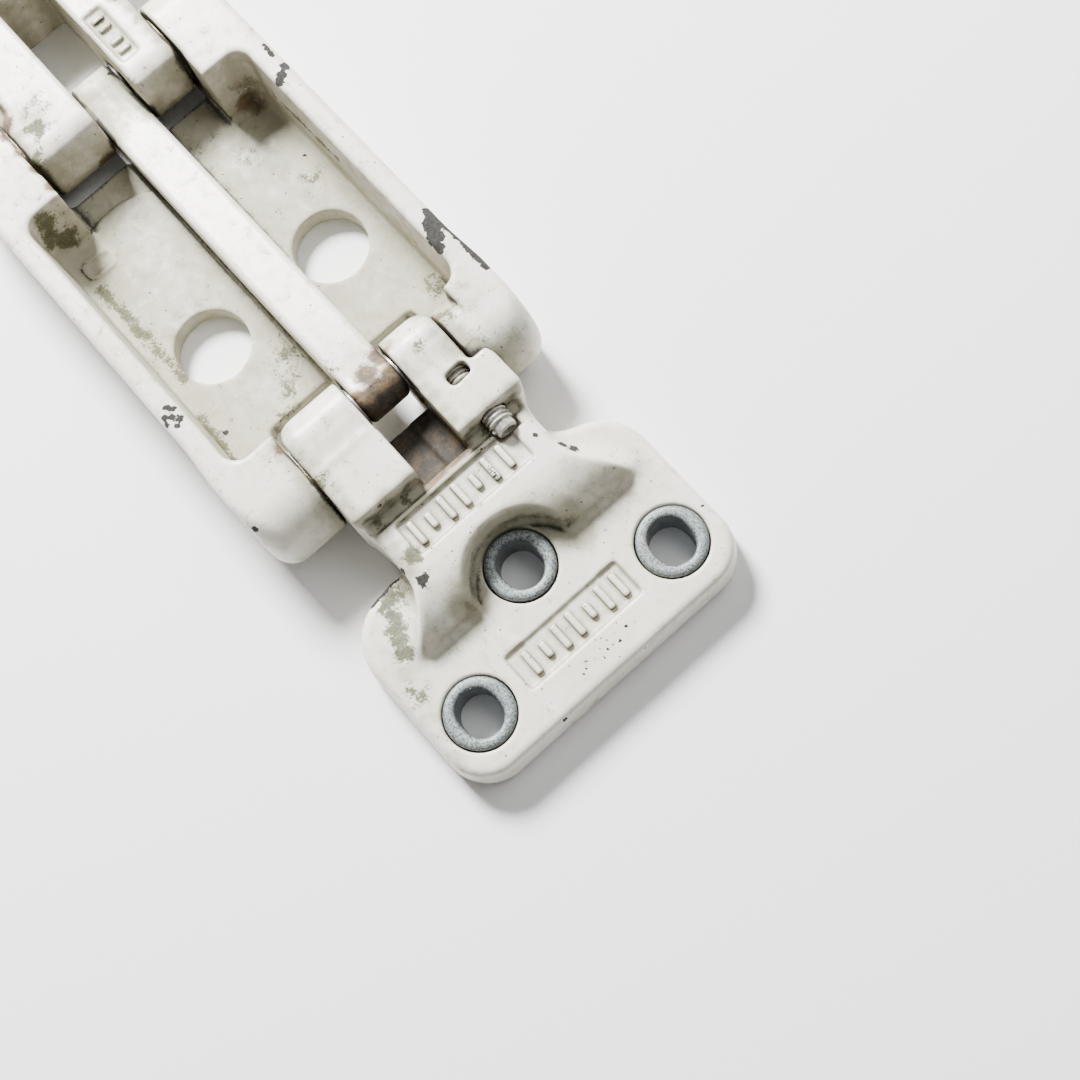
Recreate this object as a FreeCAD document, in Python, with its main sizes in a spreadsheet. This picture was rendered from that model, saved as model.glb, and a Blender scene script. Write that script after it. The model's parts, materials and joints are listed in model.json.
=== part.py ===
import FreeCAD, Part
import os
import Sketcher

# Two-pivot friction hinge, modelled open flat.
# Frame: the origin is the middle of the frame bracket's back face, on the line of its two
# outer screw holes. +X runs along the hinge to the sash bracket, +Z points away from the
# surfaces that both brackets are screwed to. Millimetres.

V = FreeCAD.Vector

SIZES = (
    # brackets
    ("plate_width", 47.6),
    ("plate_thick", 5.5),
    ("plate_outer_edge", 8.3),
    ("plate_inner_edge", 21.0),
    ("plate_corner", 6.5),
    ("plate_edge_round", 1.2),
    ("screw_spacing", 33.1),
    ("screw_stagger", 11.0),
    ("insert_outer", 10.0),
    ("insert_bore", 5.8),
    ("insert_slot", 6.9),
    ("insert_slot_depth", 2.2),
    ("insert_proud", 0.3),
    ("plate_to_pivot", 37.5),
    ("scoop_radius", 8.3),
    ("scoop_offset", 8.0),
    # main arm
    ("pivot_span", 65.3),
    ("arm_width", 45.4),
    ("arm_height", 13.3),
    ("arm_floor", 3.2),
    ("arm_wall", 3.2),
    ("arm_gap", 25.8),
    ("pad_reach", 11.2),
    ("knuckle_reach", 6.7),
    ("floor_setback_frame", 7.1),
    ("floor_setback_sash", 11.7),
    ("pocket_corner", 3.0),
    ("access_hole", 10.9),
    ("access_spacing", 21.6),
    ("access_from_sash", 26.85),
    # pivots
    ("pivot_pin", 4.2),
    ("pivot_bush", 7.0),
    ("pivot_pin_grip", 5.5),
    ("pivot_pin_setback", 0.7),
    ("running_gap", 0.05),
    ("side_gap", 0.5),
    ("washer_slack", 0.05),
    ("washer_outer", 10.4),
    # control link
    ("crank_across", 3.11),
    ("crank_up", 3.11),
    ("link_centre", 1.4),
    ("link_width", 6.7),
    ("link_side_gap", 0.35),
    ("link_above", 3.1),
    ("link_below", 2.2),
    ("link_eye_radius", 3.35),
    ("link_pin", 3.0),
    ("link_pin_inset", 0.5),
    ("link_bush", 4.8),
    ("link_play", 0.32),
    ("link_eye_back", 0.16),
    ("link_eye_lift", 0.13),
    ("link_washer_outer", 6.0),
    ("groove_depth", 1.4),
    # ears, fork and neck
    ("fork_end_radius", 6.3),
    ("ear_end_radius", 4.2),
    ("ear_root_radius", 6.0),
    ("web_setback", 2.0),
    ("web_top", 6.5),
    ("ear_block_length", 10.5),
    ("boss_width", 3.3),
    ("boss_gap", 0.6),
    ("sweep_gap", 0.4),
    ("neck_height", 10.6),
    ("neck_shoulder", 2.2),
    ("ramp_overlap", 1.0),
    ("fork_height", 13.0),
    ("wing_half_width", 19.5),
    ("boss_wall", 1.6),
    # friction screws
    ("grub_diameter", 4.0),
    ("grub_length", 11.0),
    ("grub_start", 2.4),
    ("grub_inset", 2.1),
    ("grub_socket", 2.0),
    ("grub_socket_depth", 2.0),
    ("grub_below_top", 2.6),
)

doc = FreeCAD.newDocument("friction_hinge")
sheet = doc.addObject("Spreadsheet::Sheet", "sizes")
for row, (alias, number) in enumerate(SIZES, start=1):
    sheet.set("A%d" % row, alias)
    sheet.set("B%d" % row, str(number))
    sheet.setAlias("B%d" % row, alias)
doc.recompute()


class Size:
    """A length that carries both its number and the sheet expression it comes from."""

    def __init__(self, value, text):
        self.value = value
        self.text = text

    @staticmethod
    def of(other):
        if isinstance(other, Size):
            return other
        return Size(float(other), "(%r)" % float(other))

    def __add__(self, other):
        other = Size.of(other)
        return Size(self.value + other.value, "(%s + %s)" % (self.text, other.text))

    def __sub__(self, other):
        other = Size.of(other)
        return Size(self.value - other.value, "(%s - %s)" % (self.text, other.text))

    def __mul__(self, other):
        other = Size.of(other)
        return Size(self.value * other.value, "(%s * %s)" % (self.text, other.text))

    def __truediv__(self, other):
        other = Size.of(other)
        return Size(self.value / other.value, "(%s / %s)" % (self.text, other.text))

    def __neg__(self):
        return Size(-self.value, "(0 - %s)" % self.text)

    __radd__ = __add__
    __rmul__ = __mul__


def size(alias):
    return Size(float(sheet.get(alias)), "sizes.%s" % alias)


def bind(thing, prop, amount):
    """Ties one property of an object to the sheet."""
    thing.setExpression(prop, Size.of(amount).text)


def place(thing, x, y, z):
    for axis, amount in zip("xyz", (x, y, z)):
        bind(thing, "Placement.Base.%s" % axis, amount)


# ---------------------------------------------------------------- shape helpers

def box(name, x, y, z, length, width, height):
    thing = doc.addObject("Part::Box", name)
    bind(thing, "Length", length)
    bind(thing, "Width", width)
    bind(thing, "Height", height)
    place(thing, x, y, z)
    return thing


def cylinder(name, x, y, z, radius, height, along="z"):
    """A cylinder that starts at the point and runs along +X, +Y or +Z."""
    thing = doc.addObject("Part::Cylinder", name)
    turns = {"z": FreeCAD.Rotation(), "y": FreeCAD.Rotation(V(1, 0, 0), -90),
             "x": FreeCAD.Rotation(V(0, 1, 0), 90)}
    thing.Placement = FreeCAD.Placement(V(), turns[along])
    bind(thing, "Radius", radius)
    bind(thing, "Height", height)
    place(thing, x, y, z)
    return thing


def fuse(name, *shapes):
    thing = doc.addObject("Part::MultiFuse", name)
    thing.Shapes = list(shapes)
    thing.Refine = True
    return thing


def cut(name, base, *tools):
    """Base with every tool cut away."""
    thing = doc.addObject("Part::Cut", name)
    thing.Base = base
    thing.Tool = tools[0] if len(tools) == 1 else fuse(name + "_tools", *tools)
    thing.Refine = True
    return thing


def plane_of(body, role):
    return next(f for f in body.Origin.OriginFeatures if f.Role == role)


def sketch_on(body, role):
    sketch = body.newObject("Sketcher::SketchObject", body.Name + "_sketch")
    sketch.AttachmentSupport = (plane_of(body, role), [""])
    sketch.MapMode = "FlatFace"
    return sketch


def pad(body, sketch, length):
    feature = body.newObject("PartDesign::Pad", body.Name + "_pad")
    feature.Profile = sketch
    bind(feature, "Length", length)
    return feature


def outline(sketch, points):
    """A closed outline whose corners are each held at a pair of sizes."""
    points = [(Size.of(a), Size.of(b)) for a, b in points]
    count = len(points)
    for here in range(count):
        start = points[here]
        end = points[(here + 1) % count]
        line = Part.LineSegment(V(start[0].value, start[1].value, 0), V(end[0].value, end[1].value, 0))
        sketch.addGeometry(line, False)
    for here in range(count):
        sketch.addConstraint(Sketcher.Constraint("Coincident", here, 2, (here + 1) % count, 1))
    for here, point in enumerate(points):
        for kind, amount in zip(("DistanceX", "DistanceY"), point):
            held = sketch.addConstraint(Sketcher.Constraint(kind, -1, 1, here, 1, amount.value))
            sketch.setExpression("Constraints[%d]" % held, amount.text)


def side_profile(name, points, y_low, width):
    """An outline in X and Z, padded across the hinge from y_low."""
    body = doc.addObject("PartDesign::Body", name)
    sketch = sketch_on(body, "XZ_Plane")
    outline(sketch, points)
    pad(body, sketch, width)
    place(body, 0, Size.of(y_low) + width, 0)
    return body


def plan_profile(name, points, z_low, height):
    """An outline in X and Y, padded upwards from z_low."""
    body = doc.addObject("PartDesign::Body", name)
    sketch = sketch_on(body, "XY_Plane")
    outline(sketch, points)
    pad(body, sketch, height)
    place(body, 0, 0, z_low)
    return body


def round_body(name, x, y, z, outer, inner, length):
    """A pin, or with an inner radius a ring, whose axis runs along +Y from the point."""
    body = doc.addObject("PartDesign::Body", name)
    sketch = sketch_on(body, "XZ_Plane")
    for radius in [r for r in (outer, inner) if r is not None]:
        circle = sketch.addGeometry(Part.Circle(V(), V(0, 0, 1), radius.value), False)
        sketch.addConstraint(Sketcher.Constraint("Coincident", circle, 3, -1, 1))
        held = sketch.addConstraint(Sketcher.Constraint("Radius", circle, radius.value))
        sketch.setExpression("Constraints[%d]" % held, radius.text)
    pad(body, sketch, length)
    place(body, x, Size.of(y) + length, z)
    return body


def highest_face(feature):
    """Name of the feature's topmost flat face."""
    faces = feature.Shape.Faces
    best = max(range(len(faces)), key=lambda i: faces[i].CenterOfMass.z)
    return "Face%d" % (best + 1)


def bracket_plate(name, x_low, x_high):
    """A flat plate with rounded corners and a rounded upper edge."""
    body = doc.addObject("PartDesign::Body", name)
    half = size("plate_width") / 2
    sketch = sketch_on(body, "XY_Plane")
    outline(sketch, [(x_low, -half), (x_high, -half), (x_high, half), (x_low, half)])
    slab = pad(body, sketch, size("plate_thick"))
    doc.recompute()
    upright = [i for i, edge in enumerate(slab.Shape.Edges, start=1)
               if abs(edge.tangentAt(edge.FirstParameter).z) > 0.9]
    corners = body.newObject("PartDesign::Fillet", name + "_corners")
    corners.Base = (slab, ["Edge%d" % i for i in upright])
    bind(corners, "Radius", size("plate_corner"))
    doc.recompute()
    rim = body.newObject("PartDesign::Fillet", name + "_rim")
    rim.Base = (corners, [highest_face(corners)])
    bind(rim, "Radius", size("plate_edge_round"))
    return body


# ---------------------------------------------------------------- shared places

FRAME_PLATE_X = Size.of(0)
FRAME_X = size("plate_to_pivot")
SASH_X = FRAME_X + size("pivot_span")
PIVOT_Z = size("arm_height") / 2
LINK_PIN_FRAME = (FRAME_X - size("crank_across"), PIVOT_Z - size("crank_up"))
LINK_PIN_SASH = (SASH_X - size("crank_across"), PIVOT_Z + size("crank_up"))
LINK_EYE_SASH = (LINK_PIN_SASH[0] - size("link_eye_back"), LINK_PIN_SASH[1] + size("link_eye_lift"))
SASH_PLATE_X = SASH_X + size("plate_to_pivot")

GAP_HALF = size("arm_gap") / 2
EAR_HALF = GAP_HALF - size("side_gap")
SLOT_LOW = size("link_centre") - size("link_width") / 2 - size("link_side_gap")
SLOT_WIDE = size("link_width") + 2 * size("link_side_gap")
SLOT_HIGH = SLOT_LOW + SLOT_WIDE
OVER = 1.0      # how far a cutting tool passes a face that it opens
DIAGONAL = 0.7  # share of a radius that stays inside its circle at 45 degrees
HEXAGON = 3 ** 0.5   # width across a hexagon's flats over its corner radius


# ---------------------------------------------------------------- main arm

def make_main_arm():
    half = size("arm_width") / 2
    height = size("arm_height")
    floor = size("arm_floor")
    clear = height - floor + OVER
    body = box("arm_block", FRAME_X, -half, 0, size("pivot_span"), size("arm_width"), height)
    ends = [cylinder("arm_end_%s" % side, x, -half, PIVOT_Z, height / 2, size("arm_width"), "y")
            for side, x in (("frame", FRAME_X), ("sash", SASH_X))]
    whole = fuse("arm_whole", body, *ends)

    reach = height / 2 + OVER
    frame_gap = box("arm_gap_frame", FRAME_X - reach, -GAP_HALF, -OVER,
                    reach + size("floor_setback_frame"), size("arm_gap"), height + 2 * OVER)
    sash_gap = box("arm_gap_sash", SASH_X - size("floor_setback_sash"), -GAP_HALF, -OVER,
                   reach + size("floor_setback_sash"), size("arm_gap"), height + 2 * OVER)
    channel = box("arm_channel", FRAME_X, -GAP_HALF, floor, size("pivot_span"), size("arm_gap"), clear)

    pocket_low = FRAME_X + size("pad_reach")
    pocket_high = SASH_X - size("knuckle_reach")
    pocket_half = half - size("arm_wall")
    corner = size("pocket_corner")
    pocket_long = box("arm_pocket_long", pocket_low, corner - pocket_half, floor,
                      pocket_high - pocket_low, 2 * (pocket_half - corner), clear)
    pocket_wide = box("arm_pocket_wide", pocket_low + corner, -pocket_half, floor,
                      pocket_high - pocket_low - 2 * corner, 2 * pocket_half, clear)
    rounds = []
    for label, x in (("frame", pocket_low + corner), ("sash", pocket_high - corner)):
        for side, sign in (("left", 1), ("right", -1)):
            rounds.append(cylinder("arm_pocket_%s_%s" % (label, side), x, sign * (pocket_half - corner),
                                   floor, corner, clear))

    groove = box("arm_groove", FRAME_X, SLOT_LOW, floor - size("groove_depth"),
                 size("pivot_span"), SLOT_WIDE, clear)
    holes = [cylinder("arm_access_%s" % side, SASH_X - size("access_from_sash"),
                      sign * size("access_spacing") / 2, -OVER, size("access_hole") / 2, height)
             for side, sign in (("left", 1), ("right", -1))]
    bores = [cylinder("arm_bore_%s" % side, x, -half - OVER, PIVOT_Z, size("pivot_bush") / 2,
                      size("arm_width") + 2 * OVER, "y")
             for side, x in (("frame", FRAME_X), ("sash", SASH_X))]

    # The left sash knuckle is rounded on its inner side so that the ear's boss can swing past it.
    relief_block = box("arm_relief_block", SASH_X - size("knuckle_reach") - OVER, GAP_HALF - OVER, PIVOT_Z,
                       size("knuckle_reach") + OVER, size("boss_width") + size("sweep_gap") + OVER, height)
    relief_core = cylinder("arm_relief_core", SASH_X, GAP_HALF - 2 * OVER, PIVOT_Z,
                           height / 2 + size("sweep_gap"), size("boss_width") + 5 * OVER, "y")
    relief = cut("arm_relief", relief_block, relief_core)

    return cut("main_arm", whole, frame_gap, sash_gap, channel, pocket_long, pocket_wide, groove,
               relief, *(rounds + holes + bores))


# ---------------------------------------------------------------- brackets

def screw_points(plate_x, inward):
    """The three screw places of a bracket; inward is +1 or -1 towards the pivots."""
    half = size("screw_spacing") / 2
    return (("left", plate_x, half), ("right", plate_x, -half),
            ("middle", plate_x + inward * size("screw_stagger"), Size.of(0)))


def screw_bores(name, plate_x, inward):
    tall = 3 * size("arm_height")
    return [cylinder("%s_seat_%s" % (name, side), x, y, -OVER, size("insert_outer") / 2, tall)
            for side, x, y in screw_points(plate_x, inward)]


def pin_bores(name, pivot_x, link_pin, width_low, width_high):
    """Blind holes for the two pivot pins and a cross hole for the link's pin."""
    radius = size("pivot_pin") / 2
    grip = size("pivot_pin_grip")
    return [
        cylinder(name + "_pin_hole_left", pivot_x, width_high - grip, PIVOT_Z, radius, grip + OVER, "y"),
        cylinder(name + "_pin_hole_right", pivot_x, width_low - OVER, PIVOT_Z, radius, grip + OVER, "y"),
        cylinder(name + "_link_hole", link_pin[0], width_low - OVER, link_pin[1], size("link_pin") / 2,
                 width_high - width_low + 2 * OVER, "y"),
    ]


def grub_place(pivot_x, outward):
    """Where a friction screw starts: beside the pivot, just under the top of the ear."""
    start = pivot_x + outward * size("grub_start")
    if outward < 0:
        start = start - size("grub_length")
    return start, EAR_HALF - size("grub_inset"), size("arm_height") - size("grub_below_top")


def make_sash_bracket():
    height = size("arm_height")
    half = size("plate_width") / 2
    plate = bracket_plate("sash_plate", SASH_PLATE_X - size("plate_inner_edge"),
                          SASH_PLATE_X + size("plate_outer_edge"))
    eyes = [cylinder("ear_root", SASH_X, -EAR_HALF, PIVOT_Z, size("ear_root_radius"), 2 * EAR_HALF, "y"),
            cylinder("ear_end", LINK_PIN_SASH[0], -EAR_HALF, LINK_PIN_SASH[1], size("ear_end_radius"),
                     2 * EAR_HALF, "y")]
    bottom = PIVOT_Z - size("ear_root_radius")
    ears = side_profile("ear_bridge", [
        (SASH_X, bottom), (SASH_X + size("ear_block_length"), bottom),
        (SASH_X + size("ear_block_length"), height), (LINK_PIN_SASH[0], height),
        (LINK_PIN_SASH[0] - size("ear_end_radius"), LINK_PIN_SASH[1]),
        (SASH_X - size("ear_root_radius") * DIAGONAL, PIVOT_Z - size("ear_root_radius") * DIAGONAL),
    ], -EAR_HALF, 2 * EAR_HALF)
    slot = box("ear_slot", SASH_X - 3 * height, SLOT_LOW, -OVER, 3 * height + size("web_setback"),
               SLOT_WIDE, height + 3 * OVER)
    well = box("web_well", SASH_X, SLOT_LOW, size("web_top"), size("ear_block_length"), SLOT_WIDE, height)

    boss_block = box("boss_block", SASH_X, EAR_HALF - OVER, bottom, size("ear_block_length"),
                     size("boss_width") + OVER, height - bottom)
    boss_round = cylinder("boss_round", SASH_X, EAR_HALF, PIVOT_Z, height / 2 + size("boss_gap"),
                          size("boss_width") + OVER, "y")
    boss = cut("boss", boss_block, boss_round)

    neck_start = SASH_X + size("web_setback")
    neck_end = SASH_PLATE_X - size("scoop_offset") - size("scoop_radius")
    neck_clear = SASH_X + height / 2 + 2 * size("sweep_gap")
    plate_start = SASH_PLATE_X - size("plate_inner_edge")
    foot = SASH_PLATE_X - size("screw_stagger") + size("ramp_overlap")
    neck_side = side_profile("neck_side", [
        (neck_start, 0), (foot, 0), (foot, size("plate_thick")), (neck_end, size("neck_height")),
        (neck_start, size("neck_height")),
    ], -half, 2 * half)
    wing = size("wing_half_width")
    neck_plan = plan_profile("neck_plan", [
        (neck_start, -EAR_HALF), (plate_start, -EAR_HALF), (foot, -wing), (foot, wing),
        (plate_start, EAR_HALF + size("neck_shoulder")), (neck_clear, EAR_HALF + size("boss_width")),
        (neck_clear, EAR_HALF), (neck_start, EAR_HALF),
    ], 0, height)
    neck = doc.addObject("Part::Common", "neck")
    neck.Base = neck_side
    neck.Tool = neck_plan
    scoop = cylinder("scoop", SASH_PLATE_X - size("scoop_offset"), 0, size("plate_thick"),
                     size("scoop_radius"), height)

    solid = fuse("sash_solid", plate, boss, neck, ears, *eyes)
    start, y, z = grub_place(SASH_X, 1)
    grub_hole = cylinder("sash_grub_hole", start, y, z, size("grub_diameter") / 2,
                         2 * size("grub_length"), "x")
    return cut("sash_bracket", solid, slot, well, scoop, grub_hole,
               *(screw_bores("sash", SASH_PLATE_X, -1)
                 + pin_bores("sash", SASH_X, LINK_PIN_SASH, -EAR_HALF, EAR_HALF)))


def make_frame_bracket():
    height = size("fork_height")
    plate = bracket_plate("frame_plate", -size("plate_outer_edge"), size("plate_inner_edge"))
    end = cylinder("fork_end", FRAME_X, -EAR_HALF, PIVOT_Z, size("fork_end_radius"), 2 * EAR_HALF, "y")
    low = PIVOT_Z - size("fork_end_radius")
    heel = size("scoop_offset") + size("scoop_radius") + size("ramp_overlap")
    toe = size("screw_stagger") - size("ramp_overlap")
    fork = side_profile("fork_arms", [
        (toe, 0), (FRAME_X - size("fork_end_radius") / 2, 0),
        (FRAME_X, low), (FRAME_X, PIVOT_Z + size("fork_end_radius")),
        (heel, height), (toe, size("plate_thick")),
    ], -EAR_HALF, 2 * EAR_HALF)
    slot_start = size("screw_stagger") + size("insert_outer") / 2 + size("boss_wall")
    slot = box("fork_slot", slot_start, SLOT_LOW, -OVER, 2 * FRAME_X, SLOT_WIDE, height + 3 * OVER)
    scoop = cylinder("frame_scoop", size("scoop_offset"), 0, size("plate_thick"), size("scoop_radius"), height)
    solid = fuse("frame_solid", plate, end, fork)
    start, y, z = grub_place(FRAME_X, -1)
    grub_hole = cylinder("frame_grub_hole", start - size("grub_length"), y, z, size("grub_diameter") / 2,
                         2 * size("grub_length"), "x")
    return cut("frame_bracket", solid, slot, scoop, grub_hole,
               *(screw_bores("frame", FRAME_PLATE_X, 1)
                 + pin_bores("frame", FRAME_X, LINK_PIN_FRAME, -EAR_HALF, EAR_HALF)))


def make_inserts(name, plate_x, inward):
    """Steel liners for the bracket's screw holes, with a short adjustment slot at the top."""
    tall = size("plate_thick") + size("insert_proud")
    spare = (size("insert_slot") - size("insert_bore")) / 2
    bore = size("insert_bore") / 2
    low = tall - size("insert_slot_depth")
    made = []
    for side, x, y in screw_points(plate_x, inward):
        tag = "%s_insert_%s" % (name, side)
        ring = cylinder(tag + "_ring", x, y, 0, size("insert_outer") / 2, tall)
        hole = cylinder(tag + "_hole", x, y, -OVER, bore, tall + 2 * OVER)
        ends = [cylinder("%s_slot_end_%d" % (tag, k), x + sign * spare, y, low, bore, tall)
                for k, sign in enumerate((1, -1))]
        middle = box(tag + "_slot", x - spare, y - bore, low, 2 * spare, 2 * bore, tall)
        made.append(cut(tag, ring, hole, middle, *ends))
    return made


# ---------------------------------------------------------------- control link

def make_control_link():
    low = size("link_centre") - size("link_width") / 2
    wide = size("link_width")
    radius = size("link_eye_radius")
    (ax, az), (bx, bz) = LINK_PIN_FRAME, LINK_EYE_SASH
    above = size("link_above")
    below = size("link_below")
    bar = side_profile("link_bar", [(ax, az - below), (bx, bz - below), (bx, bz + above), (ax, az + above)],
                       low, wide)
    eyes = [cylinder("link_eye_%s" % end, x, low, z, radius, wide, "y")
            for end, x, z in (("frame", ax, az), ("sash", bx, bz))]
    bores = [cylinder("link_bore_%s" % end, x, low - OVER, z, size("link_bush") / 2, wide + 2 * OVER, "y")
             for end, x, z in (("frame", ax, az), ("sash", bx, bz))]
    return cut("control_link", fuse("link_solid", bar, *eyes), *bores)


# ---------------------------------------------------------------- pins, bushes and washers

def make_pivot_hardware(end, pivot_x):
    """Two stub pins, two bushes and two friction washers of one pivot axis."""
    radius = size("pivot_pin") / 2
    outer_end = size("arm_width") / 2 - size("pivot_pin_setback")
    pin_length = outer_end - EAR_HALF + size("pivot_pin_grip")
    bush_length = size("arm_width") / 2 - GAP_HALF
    thick = size("side_gap") - 2 * size("washer_slack")
    clear = radius + size("running_gap")
    made = []
    for side, sign in (("left", 1), ("right", -1)):
        pin_low = EAR_HALF - size("pivot_pin_grip") if sign > 0 else -outer_end
        bush_low = GAP_HALF if sign > 0 else -GAP_HALF - bush_length
        washer_low = EAR_HALF + size("washer_slack") if sign > 0 else -EAR_HALF - size("washer_slack") - thick
        made.append(round_body("%s_pivot_pin_%s" % (end, side), pivot_x, pin_low, PIVOT_Z, radius, None,
                               pin_length))
        made.append(round_body("%s_bush_%s" % (end, side), pivot_x, bush_low, PIVOT_Z,
                               size("pivot_bush") / 2, clear, bush_length))
        made.append(round_body("%s_friction_washer_%s" % (end, side), pivot_x, washer_low, PIVOT_Z,
                               size("washer_outer") / 2, clear, thick))
    return made


def make_link_hardware(end, pin, eye, play):
    """The link's pin, its bush and a thin washer on each side of the link."""
    radius = size("link_pin") / 2
    low = size("link_centre") - size("link_width") / 2
    thick = size("link_side_gap") - 2 * size("washer_slack")
    inset = size("link_pin_inset")
    made = [
        round_body("link_pin_" + end, pin[0], inset - EAR_HALF, pin[1], radius, None, 2 * (EAR_HALF - inset)),
        round_body("link_bush_" + end, eye[0], low, eye[1], size("link_bush") / 2, radius + play,
                   size("link_width")),
    ]
    for side, y in (("left", low + size("link_width") + size("washer_slack")),
                    ("right", low - size("washer_slack") - thick)):
        made.append(round_body("link_washer_%s_%s" % (end, side), pin[0], y, pin[1],
                               size("link_washer_outer") / 2, radius + size("running_gap"), thick))
    return made


def make_grub_screw(name, pivot_x, outward):
    """A set screw along the hinge with a hexagon socket in its outer end."""
    start, y, z = grub_place(pivot_x, outward)
    stem = cylinder(name + "_stem", start, y, z, size("grub_diameter") / 2, size("grub_length"), "x")
    socket = doc.addObject("Part::Prism", name + "_socket")
    socket.Polygon = 6
    bind(socket, "Circumradius", size("grub_socket") / HEXAGON)
    bind(socket, "Height", size("grub_socket_depth") + OVER)
    socket.Placement = FreeCAD.Placement(V(), FreeCAD.Rotation(V(0, 1, 0), 90))
    face = start + size("grub_length") - size("grub_socket_depth") if outward > 0 else start - OVER
    place(socket, face, y, z)
    return cut(name, stem, socket)


# ---------------------------------------------------------------- build and export

nodes = [make_main_arm(), make_sash_bracket(), make_frame_bracket(), make_control_link()]
nodes += make_inserts("sash", SASH_PLATE_X, -1)
nodes += make_inserts("frame", FRAME_PLATE_X, 1)
nodes += make_pivot_hardware("sash", SASH_X)
nodes += make_pivot_hardware("frame", FRAME_X)
nodes += make_link_hardware("sash", LINK_PIN_SASH, LINK_EYE_SASH, size("link_play"))
nodes += make_link_hardware("frame", LINK_PIN_FRAME, LINK_PIN_FRAME, size("running_gap"))
nodes += [make_grub_screw("sash_grub_screw", SASH_X, 1), make_grub_screw("frame_grub_screw", FRAME_X, -1)]
for node in nodes:
    node.Label = node.Name

doc.recompute()
for thing in doc.Objects:
    if "Invalid" in thing.State or "Error" in thing.State:
        raise RuntimeError("%s failed to build: %s" % (thing.Name, thing.State))

os.makedirs("parts", exist_ok=True)
for node in nodes:
    shape = node.Shape
    if shape.isNull() or not shape.isValid():
        raise RuntimeError("%s has no valid shape" % node.Label)
    if len(shape.Solids) != 1:
        raise RuntimeError("%s has %d solids" % (node.Label, len(shape.Solids)))
    shape.exportStep("parts/%s.step" % node.Label)
    print("%-28s volume %9.1f mm3" % (node.Label, shape.Volume))
print("%d parts" % len(nodes))
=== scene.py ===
import json
import math

import bmesh
import bpy
import numpy as np
from mathutils import Matrix, Vector


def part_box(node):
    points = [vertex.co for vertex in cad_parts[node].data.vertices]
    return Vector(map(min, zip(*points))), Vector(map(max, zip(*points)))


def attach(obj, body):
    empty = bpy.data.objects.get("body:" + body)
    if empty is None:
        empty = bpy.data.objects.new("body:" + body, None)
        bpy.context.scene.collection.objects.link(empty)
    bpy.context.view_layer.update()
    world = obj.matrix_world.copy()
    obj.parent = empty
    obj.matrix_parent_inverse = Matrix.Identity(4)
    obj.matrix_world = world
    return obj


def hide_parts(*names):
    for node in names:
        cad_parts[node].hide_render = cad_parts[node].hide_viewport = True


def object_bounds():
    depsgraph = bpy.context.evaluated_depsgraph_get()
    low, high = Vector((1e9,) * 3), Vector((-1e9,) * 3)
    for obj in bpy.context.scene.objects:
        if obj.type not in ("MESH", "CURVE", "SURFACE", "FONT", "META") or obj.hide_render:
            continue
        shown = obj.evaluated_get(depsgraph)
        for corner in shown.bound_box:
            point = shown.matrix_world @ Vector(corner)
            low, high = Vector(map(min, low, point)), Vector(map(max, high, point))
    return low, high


# A two-pivot friction hinge with worn off-white powder coat.
# Shapes are worked out in millimetres in the model's own frame: +X runs along the hinge from the
# frame bracket to the sash bracket, +Z points away from the mounting surfaces.

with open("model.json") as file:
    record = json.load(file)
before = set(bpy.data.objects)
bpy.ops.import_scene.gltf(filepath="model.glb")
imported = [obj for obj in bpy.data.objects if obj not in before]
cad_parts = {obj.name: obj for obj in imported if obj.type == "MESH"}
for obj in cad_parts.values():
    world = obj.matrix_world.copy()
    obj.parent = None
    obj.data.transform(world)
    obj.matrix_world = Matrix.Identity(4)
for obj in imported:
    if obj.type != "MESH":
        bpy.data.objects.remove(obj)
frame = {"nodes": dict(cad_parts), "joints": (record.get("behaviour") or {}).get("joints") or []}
cad_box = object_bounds()
MM = 0.001


def node_box(name):
    """Lowest and highest corner of a node, in millimetres."""
    return tuple(tuple(value / MM for value in corner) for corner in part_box(name))


JOINTS = {joint["name"]: [value / MM for value in joint["pos_m"]] for joint in frame["joints"]}
FRAME_X, _, PIVOT_Z = JOINTS["arm_pivot"]
SASH_X = JOINTS["sash_pivot"][0]
LINK_X, _, LINK_Z = JOINTS["link_pivot"]
SPAN = SASH_X - FRAME_X
CRANK_X = FRAME_X - LINK_X
CRANK_Z = PIVOT_Z - LINK_Z
EYE_X = SASH_X - CRANK_X
EYE_Z = PIVOT_Z + CRANK_Z
ARM_LOW, ARM_HIGH = node_box("main_arm")
ARM_TOP = ARM_HIGH[2]
ARM_HALF = ARM_HIGH[1]
GAP_HALF = node_box("sash_bush_left")[0][1]
EAR_HALF = GAP_HALF - 0.2
LINK_LOW, LINK_HIGH = node_box("control_link")
SLOT_PLAY = 0.35
SLOT_LOW = LINK_LOW[1] - SLOT_PLAY
SLOT_HIGH = LINK_HIGH[1] + SLOT_PLAY
LINER = node_box("sash_insert_left")
LINER_RADIUS = (LINER[1][0] - LINER[0][0]) / 2
LINER_TOP = LINER[1][2]
PLATE_HALF = cad_box[1][1] / MM
PLATE_TOP = LINER_TOP - 0.3


def centre_of(name):
    """Middle of a node's box, in millimetres."""
    low, high = node_box(name)
    return tuple((a + b) / 2 for a, b in zip(low, high))


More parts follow.
